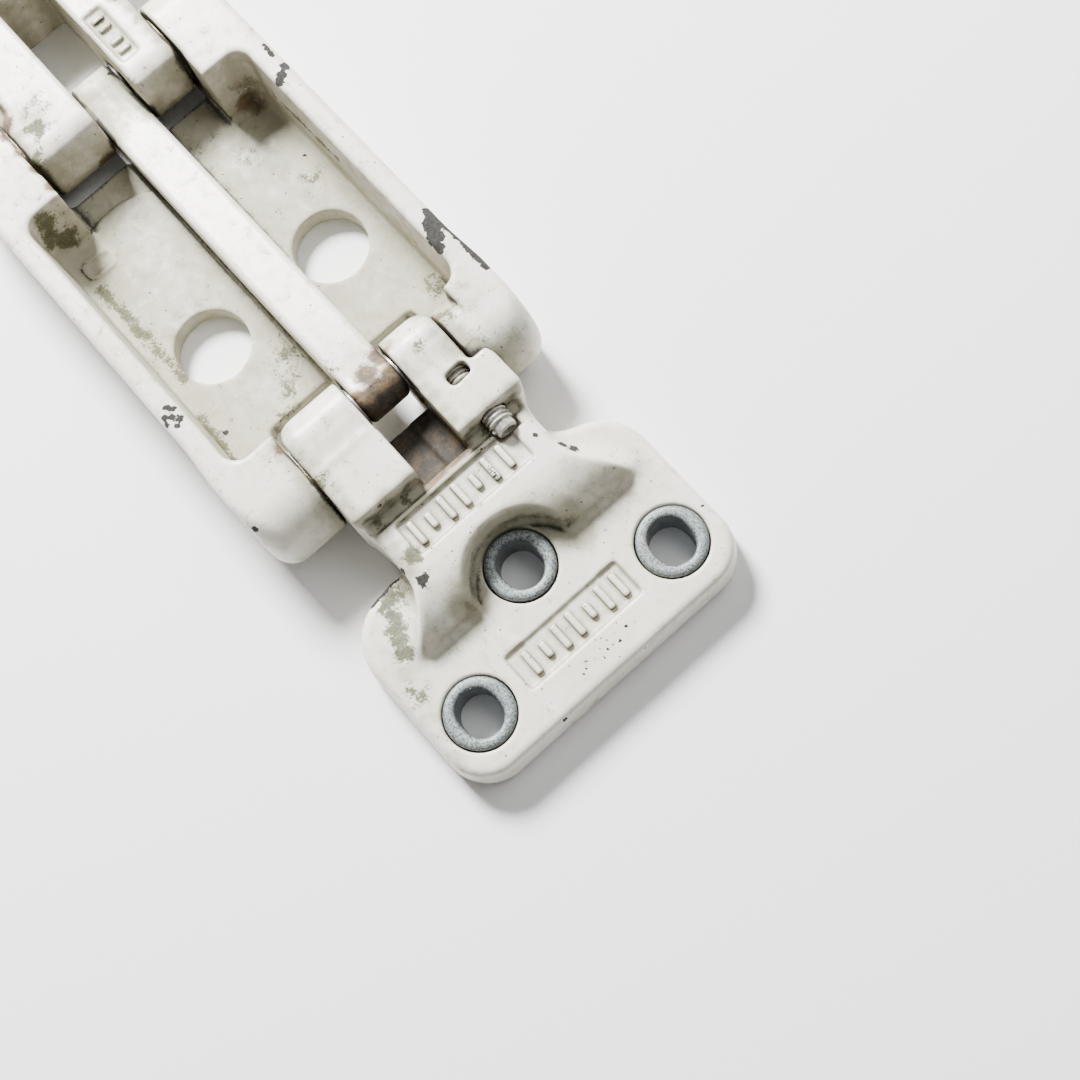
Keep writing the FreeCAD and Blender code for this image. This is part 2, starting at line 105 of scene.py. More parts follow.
SIDES = ("left", "right", "middle")
SASH_INSERTS = ["sash_insert_" + side for side in SIDES]
FRAME_INSERTS = ["frame_insert_" + side for side in SIDES]
SASH_SCREWS = [centre_of(name) for name in SASH_INSERTS]
FRAME_SCREWS = [centre_of(name) for name in FRAME_INSERTS]
SASH_PLATE_X = SASH_SCREWS[0][0]
FRAME_PLATE_X = FRAME_SCREWS[0][0]
GRUB_Y, GRUB_Z = centre_of("sash_grub_screw")[1:]
SASH_GRUB_END = node_box("sash_grub_screw")[1][0]
FRAME_GRUB_START = node_box("frame_grub_screw")[0][0]
GRUB_RADIUS = 1.85
PIN_RADIUS = 2.1
LINK_PIN_RADIUS = 1.5
DISC_RADIUS = 5.3
BUSH_RADIUS = 3.5
LINK_BUSH_RADIUS = 2.4
PLATE_OUT = 8.3      # plate's reach past its screw pair, away from the arm
PLATE_IN = 21.0      # and towards the arm
UNEVEN = 0.03        # height of the casting's unevenness
BACK = 0.02          # lowest level of both brackets

# ------------------------ solid shapes as distance fields
# Each function returns the distance to a shape, negative inside it, for arrays of points.

FAR = 9.0


def rounded_box(p, low, high, radius):
    """Box between two corners, with its edges rounded."""
    q = [np.abs(c - (a + b) / 2) - (b - a) / 2 + radius for c, a, b in zip(p, low, high)]
    outside = np.sqrt(sum(np.maximum(v, 0) ** 2 for v in q))
    inside = np.minimum(np.maximum(q[0], np.maximum(q[1], q[2])), 0)
    return outside + inside - radius


def rounded_rect(a, b, low, high, radius):
    """Flat version of rounded_box: distance to a rectangle with rounded corners."""
    qa = np.abs(a - (low[0] + high[0]) / 2) - (high[0] - low[0]) / 2 + radius
    qb = np.abs(b - (low[1] + high[1]) / 2) - (high[1] - low[1]) / 2 + radius
    return np.hypot(np.maximum(qa, 0), np.maximum(qb, 0)) + np.minimum(np.maximum(qa, qb), 0) - radius


def disc(a, b, centre_a, centre_b, radius):
    return np.hypot(a - centre_a, b - centre_b) - radius


def stretch(a, b, start, end, radius):
    """Distance to a flat bar with round ends between two points."""
    da = end[0] - start[0]
    db = end[1] - start[1]
    along = np.clip(((a - start[0]) * da + (b - start[1]) * db) / (da * da + db * db), 0, 1)
    return np.hypot(a - start[0] - along * da, b - start[1] - along * db) - radius


def half_plane(a, b, point, direction):
    """Distance past a line; positive on the side that direction points to."""
    size = math.hypot(*direction)
    return ((a - point[0]) * direction[0] + (b - point[1]) * direction[1]) / size


def both(a, b, blend=0.0):
    """What two shapes share, with the edge between them rounded."""
    if np.all(blend <= 0):
        return np.maximum(a, b)
    over_a = np.maximum(blend + a, 0)
    over_b = np.maximum(blend + b, 0)
    return np.minimum(np.maximum(a, b), -blend) + np.hypot(over_a, over_b)


def joined(a, b, blend=0.0):
    """Both shapes together, with a fillet between them."""
    return -both(-a, -b, blend)


def without(a, b, blend=0.0):
    """The first shape with the second cut away."""
    return both(a, -b, blend)


def slab(value, low, high):
    return np.maximum(low - value, value - high)


def smooth(value, low, high):
    t = np.clip((value - low) / (high - low), 0, 1)
    return t * t * (3 - 2 * t)


def ripple(p, scale, seed):
    """Soft unevenness of a casting, from -1 to 1."""
    rng = np.random.default_rng(seed)
    total = 0
    for _ in range(5):
        direction = rng.normal(size=3)
        phase = rng.uniform(0, 2 * math.pi)
        wave = sum(c * d for c, d in zip(p, direction))
        total = total + np.sin(wave / scale * rng.uniform(0.7, 1.6) + phase)
    return total / 5


# ------------------------ turning a field into a mesh

CAVITY_REACHES = ((0.7, 0.25), (1.8, 0.30), (4.0, 0.25), (9.0, 0.20))    # how far, how much it counts
EDGE_DEPTH = 0.6
MOST_EDGE = 0.45
EDGES_FROM = 4.0     # no worn edges below this height
CORNERS = [(i, j, k) for i in (0, 1) for j in (0, 1) for k in (0, 1)]
CELL_EDGES = [(a, b) for a in CORNERS for b in CORNERS
              if a < b and sum(abs(u - v) for u, v in zip(a, b)) == 1]


def surface_net(field, low, high, cell):
    """Vertices and quads of the field's zero surface on a regular grid."""
    axes = [np.arange(a - 2 * cell, b + 2.5 * cell, cell) for a, b in zip(low, high)]
    grid = np.meshgrid(*axes, indexing="ij", sparse=True)
    values = np.broadcast_to(field(grid), [len(axis) for axis in axes]).astype(np.float32)
    inside = values < 0
    shape = tuple(n - 1 for n in values.shape)

    def corner(array, c):
        return array[c[0]:c[0] + shape[0], c[1]:c[1] + shape[1], c[2]:c[2] + shape[2]]

    count = sum(corner(inside, c).astype(np.int8) for c in CORNERS)
    cells = np.argwhere((count > 0) & (count < 8))
    number = np.full(shape, -1, dtype=np.int64)
    number[tuple(cells.T)] = np.arange(len(cells))
    total = np.zeros((len(cells), 3))
    hits = np.zeros(len(cells))
    for a, b in CELL_EDGES:
        va = values[tuple((cells + a).T)]
        vb = values[tuple((cells + b).T)]
        crosses = (va < 0) != (vb < 0)
        t = np.where(crosses, va / np.where(crosses, va - vb, 1), 0)
        point = np.array(a) + t[:, None] * (np.array(b) - np.array(a))
        total += np.where(crosses[:, None], point, 0)
        hits += crosses
    points = cells + total / hits[:, None]
    start = np.array([axis[0] for axis in axes])
    points = start + points * cell

    quads = []
    for axis in range(3):
        u, v = (axis + 1) % 3, (axis + 2) % 3
        step = np.eye(3, dtype=int)
        near = inside[tuple(slice(0, n - 1) if d == axis else slice(1, n - 1)
                            for d, n in enumerate(inside.shape))]
        far = inside[tuple(slice(1, n) if d == axis else slice(1, n - 1)
                           for d, n in enumerate(inside.shape))]
        for solid_first in (True, False):
            found = near & ~far if solid_first else ~near & far
            at = np.argwhere(found) + np.array([0 if d == axis else 1 for d in range(3)])
            ring = [at, at - step[u], at - step[u] - step[v], at - step[v]]
            loop = np.stack([number[tuple(r.T)] for r in ring], axis=1)
            quads.append(loop if solid_first else loop[:, ::-1])
    return points, np.concatenate(quads)


def settle(field, points, cell, rounds=3):
    """Moves points onto the field's zero surface and returns them with their outward normals."""
    step = 0.02
    for _ in range(rounds):
        here = field(points.T)
        slope = field_slope(field, points, step)
        size = np.maximum((slope ** 2).sum(axis=1), 0.05)
        move = -(here / size)[:, None] * slope
        far = np.maximum(np.linalg.norm(move, axis=1) / (0.4 * cell), 1)
        points = points + move / far[:, None]
    slope = field_slope(field, points, step)
    return points, slope / np.maximum(np.linalg.norm(slope, axis=1), 1e-6)[:, None]


def field_slope(field, points, step):
    """How fast the field changes along each axis."""
    sides = []
    for axis in range(3):
        offset = np.zeros(3)
        offset[axis] = step
        sides.append(field((points + offset).T) - field((points - offset).T))
    return np.stack(sides, axis=1) / (2 * step)


def spots_on(points, spots):
    """Strongest listed mark at each point: full in a mark's middle, 0 at its rim."""
    value = np.zeros(len(points))
    for x, y, z, radius, strength in spots:
        distance = np.linalg.norm(points - np.array((x, y, z)), axis=1)
        value = np.maximum(value, strength * np.clip(1 - distance / radius, 0, 1))
    return value


def placed(name, data):
    """A new object in the scene."""
    made = bpy.data.objects.new(name, data)
    bpy.context.scene.collection.objects.link(made)
    return made


def cast_piece(name, field, low, high, cell, surroundings, marks):
    """Builds one casting from its field, with what its finish needs stored on the vertices."""
    points, quads = surface_net(field, low, high, cell)
    points, normals = settle(field, points, cell)
    mesh = bpy.data.meshes.new(name)
    mesh.from_pydata((points * MM).tolist(), [], quads.tolist())
    mesh.validate()
    mesh.polygons.foreach_set("use_smooth", [True] * len(mesh.polygons))

    # How much the castings around close in each vertex; the coat paints shade from this in corners and
    # gaps, and the marks' dirt and painted shade are added on top
    shade = np.zeros(len(points))
    for reach, weight in CAVITY_REACHES:
        open_way = np.clip(surroundings((points + normals * reach).T) / reach, 0, 1)
        shade += weight * (1 - open_way)
    depth = np.clip(field((points - normals * EDGE_DEPTH).T) / -EDGE_DEPTH, 0, 1)
    edge = np.minimum(1 - depth, MOST_EDGE) * smooth(points[:, 2], EDGES_FROM, EDGES_FROM + 1)
    values = {"cavity_shade_and_grime": shade + spots_on(points, marks["grime_and_shade"]), "edge": edge}
    for label in ("moss", "stain_and_shade", "chip"):
        values[label] = spots_on(points, marks[label])
    for label, value in values.items():
        layer = mesh.attributes.new(label, "FLOAT", "POINT")
        layer.data.foreach_set("value", value.astype(np.float32))
    return placed(name, mesh)


# ------------------------ main arm

ARM_WALL = 3.2
FLOOR_TOP = 3.2
POCKET_LOW = FRAME_X + 11.2
POCKET_HIGH = SASH_X - 6.7
POCKET_HALF = ARM_HALF - ARM_WALL
ACCESS_X = SASH_X - 26.85
ACCESS_Y = 10.8
ACCESS_RADIUS = 5.45


def arm_field(p):
    x, y, z = p
    side = stretch(x, z, (FRAME_X, PIVOT_Z), (SASH_X, PIVOT_Z), ARM_TOP / 2)
    middle = (FRAME_X + SASH_X) / 2
    ends = smooth(np.abs(x - middle), SPAN / 2 - 3, SPAN / 2 + 5)
    flare = 0.45 * smooth(x, SASH_X - 14, SASH_X - 6)
    body = both(side, np.abs(y) - ARM_HALF - flare, 0.9 + 2.4 * ends)

    gap_frame = rounded_rect(x, y, (FRAME_X - 20, -GAP_HALF), (FRAME_X + 7.1, GAP_HALF), 1.0)
    gap_sash = rounded_rect(x, y, (SASH_X - 11.7, -GAP_HALF), (SASH_X + 20, GAP_HALF), 1.0)
    body = without(body, np.minimum(gap_frame, gap_sash), 0.45)

    bench = 0.6 * smooth(disc(x, y, 62.0, -9.0, 12.5), 0.0, 0.7)
    bench = bench * smooth(x, 60.0, 50.0) * smooth(y, -15.5, -13.0)
    floor = FLOOR_TOP - bench + 0.25 * smooth(np.abs(y), 17.0, 19.5)
    between = rounded_rect(x, y, (FRAME_X - 30, -GAP_HALF), (SASH_X + 30, GAP_HALF), 0.5)
    channel = both(between, floor - z, 0.4)
    draft = 0.05 * (ARM_TOP - z)
    pocket_plan = rounded_rect(x, y, (POCKET_LOW, -POCKET_HALF), (POCKET_HIGH, POCKET_HALF), 2.6) + draft
    sloping_end = POCKET_LOW - 1.2 + 0.3 * (ARM_TOP - z) - x
    pocket = both(both(pocket_plan, sloping_end, 1.8), floor - z, 1.0)
    body = without(body, joined(pocket, channel, 0.25), 0.55)

    under_link = rounded_rect(x, y, (FRAME_X, SLOT_LOW), (SASH_X, SLOT_HIGH), 0.3)
    body = without(body, both(under_link, FLOOR_TOP - 1.4 - z, 0.3), 0.25)
    holes = disc(x, np.abs(y), ACCESS_X, ACCESS_Y, ACCESS_RADIUS)
    body = without(body, holes, 0.35)
    bores = np.minimum(disc(x, z, FRAME_X, PIVOT_Z, BUSH_RADIUS), disc(x, z, SASH_X, PIVOT_Z, BUSH_RADIUS))
    body = without(body, bores, 0.2)

    swing = ARM_TOP / 2 + 0.4
    beside_boss = np.maximum(slab(y, GAP_HALF - 0.5, GAP_HALF + 3.7), slab(x, SASH_X - 7.05, SASH_X))
    relief = np.maximum(np.maximum(beside_boss, PIVOT_Z - z), swing - np.hypot(x - SASH_X, z - PIVOT_Z))
    body = without(body, relief, 0.3)
    mark = np.abs(rounded_rect(x, y, (53.5, -17.2), (56.2, -12.6), 1.1)) - 0.3
    body = joined(body, np.maximum(mark, slab(z, FLOOR_TOP - 0.8, FLOOR_TOP + 0.16)), 0.35)
    return body + UNEVEN * ripple(p, 4.0, 3)


# ------------------------ brackets


def bracket_plate(p, x_low, x_high, inner_side):
    """Flat mounting plate; its inner corners are rounder than its outer ones."""
    x, y, z = p
    tight = rounded_rect(x, y, (x_low, -PLATE_HALF), (x_high, PLATE_HALF), 6.3)
    wide = rounded_rect(x, y, (x_low, -PLATE_HALF), (x_high, PLATE_HALF), 8.0)
    plan = np.where(inner_side, wide, tight)
    draft = 0.12 * (z - 2.0)
    return both(plan + np.maximum(draft, 0), slab(z, 0.0, PLATE_TOP), 1.1)


def liner_seats(p, screws):
    """Holes for the three liners."""
    x, y, _ = p
    seats = [disc(x, y, screw[0], screw[1], LINER_RADIUS) for screw in screws]
    return np.minimum(np.minimum(seats[0], seats[1]), seats[2])


def pivot_seats(p, pivot_x, link_x, link_z):
    """Holes of a bracket's pins, and the recesses of its friction discs."""
    x, y, z = p
    pins = disc(x, z, pivot_x, PIVOT_Z, PIN_RADIUS)
    pins = np.minimum(pins, disc(x, z, link_x, link_z, LINK_PIN_RADIUS))
    return pins, np.maximum(disc(x, z, pivot_x, PIVOT_Z, DISC_RADIUS), GAP_HALF - 0.5 - np.abs(y))


def grub_bore(p, start, end):
    x, y, z = p
    return np.maximum(np.hypot(y - GRUB_Y, z - GRUB_Z) - GRUB_RADIUS - 0.1, slab(x, start, end))


def ear_outline(p):
    """The rounded ear plates in side view, with the block behind them."""
    x, _, z = p
    root = disc(x, z, SASH_X, PIVOT_Z, 6.0)
    end = disc(x, z, EYE_X, EYE_Z, 4.2)
    bridge = rounded_rect(x, z, (EYE_X - 4.2, EYE_Z - 4.4), (EAR_BACK, ARM_TOP), 2.4)
    bridge = both(bridge, -2.0 - z, 0.1)
    block = rounded_rect(x, z, (SASH_X - 2.0, PIVOT_Z - 6.0), (EAR_BACK, ARM_TOP), 1.0)
    return np.minimum(joined(joined(root, end, 1.5), block, 1.0), bridge)


ABOVE = 20.0         # a height above everything
NECK_TOP = 10.6
SCOOP_X = SASH_PLATE_X - 8.0
EAR_BACK = SASH_X + 10.5
WEB_FRONT = SASH_X + 2.0
WEB_TOP = 6.5
RAMP_X = SASH_X + 20.2
NECK_LABEL = SASH_X + 12.9
PLATE_LABEL = SASH_PLATE_X - 3.3
FOOT_X = SASH_PLATE_X - 10.0


def sash_field(p):
    x, y, z = p
    plate = bracket_plate(p, SASH_PLATE_X - PLATE_IN, SASH_PLATE_X + PLATE_OUT, x < SASH_PLATE_X - 7)

    front = rounded_rect(x, y, (EYE_X - 4.4, -EAR_HALF), (SASH_X + 20, EAR_HALF), 3.4)
    back = rounded_rect(x, y, (SASH_X - 20, -EAR_HALF), (EAR_BACK, EAR_HALF), 1.0)
    crest = 0.16 * np.exp(-((x - SASH_X - 1.6) / 0.7) ** 2) * smooth(y, -2.0, -4.0)
    ears = both(ear_outline(p) - crest, np.where(x > SASH_X, back, front), 0.7)

    boss_low = (SASH_X + 1.0, EAR_HALF - 3, PIVOT_Z - 6.0)
    boss = rounded_box(p, boss_low, (EAR_BACK, EAR_HALF + 3.1, ARM_TOP), 1.1)
    boss = without(boss, disc(x, z, SASH_X, PIVOT_Z, ARM_TOP / 2 + 0.6), 0.4)
    ears = joined(ears, boss, 0.5)

    narrow = smooth(x, SASH_X + 7.5, SASH_X + 15.0)
    spread = 5.8 * smooth(x, SASH_X + 17.0, FOOT_X + 1.2) ** 1.6
    left_side = y - EAR_HALF - 2.7 + 1.3 * narrow - spread
    right_side = -EAR_HALF - spread + 0.7 * narrow - y
    across = np.maximum(left_side, right_side)
    height = NECK_TOP - PLATE_TOP + 1.0
    fall = np.hypot((x - RAMP_X) / (FOOT_X - RAMP_X), (z - PLATE_TOP + 1.0) / height) - 1
    top = np.where(x > RAMP_X, 5.6 * fall, z - NECK_TOP)
    neck = np.maximum(both(across, top, 1.3), np.maximum(WEB_FRONT - x, -z))
    swept = np.minimum(np.abs(y) - EAR_HALF, SASH_X + ARM_TOP / 2 + 0.9 - x)
    flank = smooth(np.abs(y), 12.0, 15.0) * smooth(x, FOOT_X + 1.0, FOOT_X - 4.0)
    solid = joined(plate, np.maximum(neck, swept), 0.8 + 3.4 * flank)
    solid = joined(solid, ears, 0.6)

    trench_low = (EAR_BACK, 1 - EAR_HALF, NECK_TOP - 0.8)
    trench = rounded_box(p, trench_low, (EAR_BACK + 1.7, EAR_HALF + 1.2, ABOVE), 0.7)
    solid = without(solid, trench, 0.45)
    panel = rounded_box(p, (NECK_LABEL, -8.9, NECK_TOP - 0.6), (NECK_LABEL + 5.2, 10.6, ABOVE), 0.5)
    solid = without(solid, panel, 0.25)
    bowl = 0.95 * disc(x, y, SCOOP_X, 0.0, 7.6 + 0.28 * (z - PLATE_TOP))
    solid = without(solid, np.maximum(bowl, PLATE_TOP - z), 0.5)

    slot = rounded_rect(y, z, (SLOT_LOW, -10.0), (SLOT_HIGH, 30.0), 0.2)
    solid = without(solid, np.maximum(slot, x - WEB_FRONT), 0.5)
    web_top = WEB_TOP - 0.5 * smooth(y, 2.2, 1.2)
    well = np.maximum(slot, np.maximum(web_top - z, x - EAR_BACK - 0.6))
    solid = without(solid, well, 0.35)
    label = rounded_box(p, (PLATE_LABEL, -9.7, PLATE_TOP - 0.6), (PLATE_LABEL + 5.6, 9.4, ABOVE), 0.6)
    solid = without(solid, label, 0.3)
    solid = without(solid, liner_seats(p, SASH_SCREWS), 0.3)

    bore = grub_bore(p, SASH_X + 2.2, SASH_GRUB_END + 0.3)
    window = rounded_rect(x, y, (SASH_X + 2.8, GRUB_Y - 1.7), (SASH_X + 4.9, GRUB_Y + 1.7), 0.8)
    solid = without(solid, joined(bore, np.maximum(window, GRUB_Z - z), 0.2), 0.2)
    solid = joined(solid, raised_bars(p, NECK_LABEL + 2.6, NECK_TOP - 0.75), 0.15)
    solid = joined(solid, raised_bars(p, PLATE_LABEL + 2.8, PLATE_TOP - 0.75), 0.15)
    pins, discs = pivot_seats(p, SASH_X, EYE_X, EYE_Z)
    solid = without(solid, np.minimum(np.maximum(pins, x - SASH_X - 3), discs), 0.1)
    return np.maximum(solid + UNEVEN * ripple(p, 4.0, 7), BACK - z)


def raised_bars(p, middle, base):
    """Plain raised bars across a label recess."""
    bars = np.full(np.broadcast(*p).shape, FAR)
    for index in range(7):
        centre = 2.5 * (index - 3) + 0.2
        half = 1.9 - 0.7 * (index % 3 == 1)
        low = (middle - half, centre - 0.5, base)
        high = (middle + half, centre + 0.5, base + 0.75)
        bars = np.minimum(bars, rounded_box(p, low, high, 0.22))
    return bars


def frame_field(p):
    x, y, z = p
    plate_end = FRAME_PLATE_X + PLATE_IN
    plate = bracket_plate(p, FRAME_PLATE_X - PLATE_OUT, plate_end, x > FRAME_PLATE_X + 7)
    upper_end = both(x - FRAME_X - 6.3, disc(x, z, FRAME_X, PIVOT_Z, 7.7), 1.2)
    upper_end = both(upper_end, PIVOT_Z - z, 0.1)
    end = np.minimum(upper_end, disc(x, z, FRAME_X, PIVOT_Z, 6.3))
    top = 13.0
    heel = FRAME_PLATE_X + 17.3
    ramp = half_plane(x, z, (heel, top), (-(top - PLATE_TOP), heel - FRAME_PLATE_X - 10.0))
    side = both(z - top, ramp, 1.2)
    beam = np.maximum(np.maximum(side, -z), np.maximum(FRAME_PLATE_X + 8.0 - x, x - FRAME_X))
    profile = np.minimum(beam, both(end, z - top, 0.8))
    outer_left = EAR_HALF - 1.4 * smooth(x, FRAME_X - 6.6, FRAME_X - 7.6) * smooth(z, 9.0, 10.5)
    outer_right = EAR_HALF - 1.6 * smooth(x, FRAME_X - 3.0, FRAME_X - 5.0) * smooth(z, 9.0, 10.5)
    across = np.maximum(y - outer_left, -outer_right - y)
    solid = joined(plate, both(profile, across, 1.2), 1.6)
    scoop = np.maximum(disc(x, y, FRAME_PLATE_X + 8.0, 0.0, 8.3), PLATE_TOP - z)
    solid = without(solid, scoop, 0.9)
    slot = rounded_rect(x, y, (FRAME_PLATE_X + 17.6, SLOT_LOW), (FRAME_X + 30, SLOT_HIGH), 0.8)
    solid = without(solid, slot, 0.7)
    label = FRAME_X - 8.3
    panel = rounded_box(p, (label, 5.9, top - 0.45), (label + 9.8, 9.1, ABOVE), 0.5)
    solid = without(solid, panel, 0.25)
    marks = np.full(np.broadcast(x, y, z).shape, FAR)
    for step in (1.6, 3.4, 6.2, 8.0):
        low = (label + step - 0.42, 6.5, top - 0.6)
        marks = np.minimum(marks, rounded_box(p, low, (label + step + 0.42, 8.5, top), 0.25))
    solid = joined(solid, marks, 0.15)
    solid = without(solid, liner_seats(p, FRAME_SCREWS), 0.3)
    bore = np.maximum(grub_bore(p, FRAME_GRUB_START - 0.3, FRAME_X - 2.2), z - 12.3)
    solid = without(solid, bore, 0.2)
    solid = without(solid, np.minimum(*pivot_seats(p, FRAME_X, LINK_X, LINK_Z)), 0.1)
    return np.maximum(solid + UNEVEN * ripple(p, 4.0, 11), BACK - z)


# ------------------------ control link

LINK_EYE_X = EYE_X - 0.16
LINK_EYE_Z = EYE_Z + 0.13


def link_field(p):
    x, y, z = p
    along = (x - LINK_X) / (LINK_EYE_X - LINK_X)
    line = LINK_Z + along * (LINK_EYE_Z - LINK_Z)
    bar = np.maximum(slab(z - line, -2.2, 3.1), slab(x, LINK_X, LINK_EYE_X))
    eyes = np.minimum(disc(x, z, LINK_X, LINK_Z, 3.35), disc(x, z, LINK_EYE_X, LINK_EYE_Z, 3.35))
    side = joined(bar, eyes, 0.6)
    middle = (LINK_LOW[1] + LINK_HIGH[1]) / 2
    half = (LINK_HIGH[1] - LINK_LOW[1]) / 2
    body = both(side, np.abs(y - middle) - half, 0.8)
    bore = disc(x, z, LINK_X, LINK_Z, LINK_BUSH_RADIUS)
    far_bore = disc(x, z, LINK_EYE_X, LINK_EYE_Z, LINK_BUSH_RADIUS)
    body = without(body, np.minimum(bore, far_bore), 0.2)
    return body + 0.025 * ripple(p, 5.0, 5)


def whole_field(p):
    brackets = np.minimum(sash_field(p), frame_field(p))
    return np.minimum(np.minimum(arm_field(p), brackets), link_field(p))


def grown(low, high, extra=0.4):
    return [c - extra for c in low], [c + extra for c in high]


def row(start, end, count, radius, strength):
    """Marks along a line."""
    steps = [i / max(count - 1, 1) for i in range(count)]
    return [tuple(a + t * (b - a) for a, b in zip(start, end)) + (radius, strength) for t in steps]


PIT_COUNT = 13
chance = np.random.default_rng(11)
PITS = np.column_stack((chance.normal(144.6, 0.7, PIT_COUNT), chance.uniform(-4.6, 4.8, PIT_COUNT),
                        chance.uniform(0.18, 0.42, PIT_COUNT))).tolist()
# Points along the sash bracket's scoop wall, where a painted shadow is laid as strong dark marks
SCOOP_WALL_SHADOW = [(SCOOP_X + 8.3 * math.cos(angle), 8.3 * math.sin(angle), 7.6)
              for angle in np.radians(range(95, 250, 4))]

# Marks of wear, dirt and painted shade: (x, y, z, radius, strength), in millimetres.
ARM_MARKS = {
    # Dirt and painted shade together, such as the painted shadow under the pocket's left end wall
    "grime_and_shade": [*row((50, 12.0, 3.2), (94, 12.0, 3.2), 9, 15.0, 0.3),
        *row((50, -12.0, 3.2), (94, -12.0, 3.2), 9, 15.0, 0.32), (46.5, 15.0, 8.0, 6.0, 0.35),
        (46.5, -15.0, 8.0, 6.0, 0.3), *row((96.5, 13.6, 13.2), (112, 13.4, 12.6), 9, 2.8, 0.55),
        *row((98, -13.2, 13.2), (112, -13.2, 12.6), 9, 2.2, 0.5), (99.0, 16.5, 13.3, 5.5, 0.26),
        (107.0, 19.5, 12.5, 5.0, 0.2), *row((60, 20.0, 12.4), (92, 20.0, 12.4), 9, 2.2, 0.2)],
    "moss": [(48.0, -16.6, 10.5, 3.2, 1.0), (48.8, -18.2, 8.0, 3.4, 1.0), (49.6, -16.0, 6.0, 3.2, 0.9),
        (47.6, -14.2, 11.5, 2.2, 0.7), *row((58, -17.2, 3.3), (77, -16.8, 3.3), 30, 1.6, 0.66),
        *row((84, -18.6, 3.6), (92, -19.2, 4.2), 12, 1.9, 0.72),
        *row((55, 19.4, 7.0), (69, 19.4, 8.0), 24, 1.3, 0.75), (88.5, -7.0, 3.3, 3.2, 0.55),
        (50.0, 8.0, 3.3, 3.0, 0.5), (84.0, -4.0, 3.2, 4.0, 0.5), (92.5, 12.9, 12.6, 1.6, 0.7),
        (91.0, 17.5, 4.0, 3.4, 0.6), (91.5, -9.0, 3.4, 3.0, 0.6), (66.0, 15.6, 3.2, 2.4, 0.45),
        (56.5, 11.0, 3.2, 2.6, 0.5), (99.5, 15.0, 13.2, 3.2, 0.46), (104.0, 16.5, 12.8, 3.4, 0.4),
        (109.8, 15.0, 12.0, 3.0, 0.44), (111.0, -14.6, 11.5, 2.6, 0.42), (98.0, -14.4, 13.0, 2.2, 0.45)],
    "stain_and_shade": [(46.8, 17.6, 5.0, 4.8, 0.85), (48.4, 16.6, 3.4, 3.8, 0.8), (47.4, 18.8, 4.0, 3.4, 1.2),
        (46.2, 15.0, 5.5, 3.2, 0.6), (51.2, 17.0, 3.2, 2.4, 0.42), (97.5, 13.1, 12.8, 2.2, 0.45),
        (45.5, 13.6, 4.4, 2.4, 0.45), (98.5, -13.1, 13.0, 1.8, 0.5),
        *row((47, -12.9, 12.8), (36, -12.9, 12.8), 4, 1.6, 0.5)],
    "chip": [(56.0, 22.0, 13.2, 1.1, 1.0), (56.8, 20.9, 13.3, 1.1, 1.0), (57.4, 19.9, 13.2, 1.1, 1.0),
        (87.0, 22.4, 13.2, 1.7, 1.0), (88.4, 21.4, 13.3, 2.1, 1.0), (90.1, 20.5, 13.3, 2.0, 1.0),
        (91.6, 19.9, 13.2, 1.5, 1.0), *row((89, 22.7, 12.9), (98, 22.7, 12.9), 26, 0.95, 0.9),
        (83.6, -20.8, 13.3, 0.9, 0.75), (84.4, -20.3, 13.3, 0.8, 0.9), (85.2, -20.9, 13.3, 0.9, 0.85),
        (84.6, -21.8, 13.3, 0.8, 0.8), (86.1, -20.4, 13.3, 0.8, 0.9), (86.6, -21.3, 13.3, 0.8, 0.6),
        (85.6, -22.2, 13.2, 0.8, 0.85), *row((51.4, 22.0, 13.2), (53.6, 21.9, 13.3), 4, 0.6, 0.9),
        (87.2, -17.3, 3.2, 0.62, 1.0), (104.3, -22.5, 12.6, 0.9, 0.9),
        *row((98, -22.7, 12.6), (101, -22.7, 12.4), 3, 0.6, 0.8), (62.6, 17.0, 3.2, 0.4, 0.9),
        (70.0, 21.0, 13.3, 0.45, 0.8), (96.0, 16.0, 13.2, 0.4, 0.7)],
}
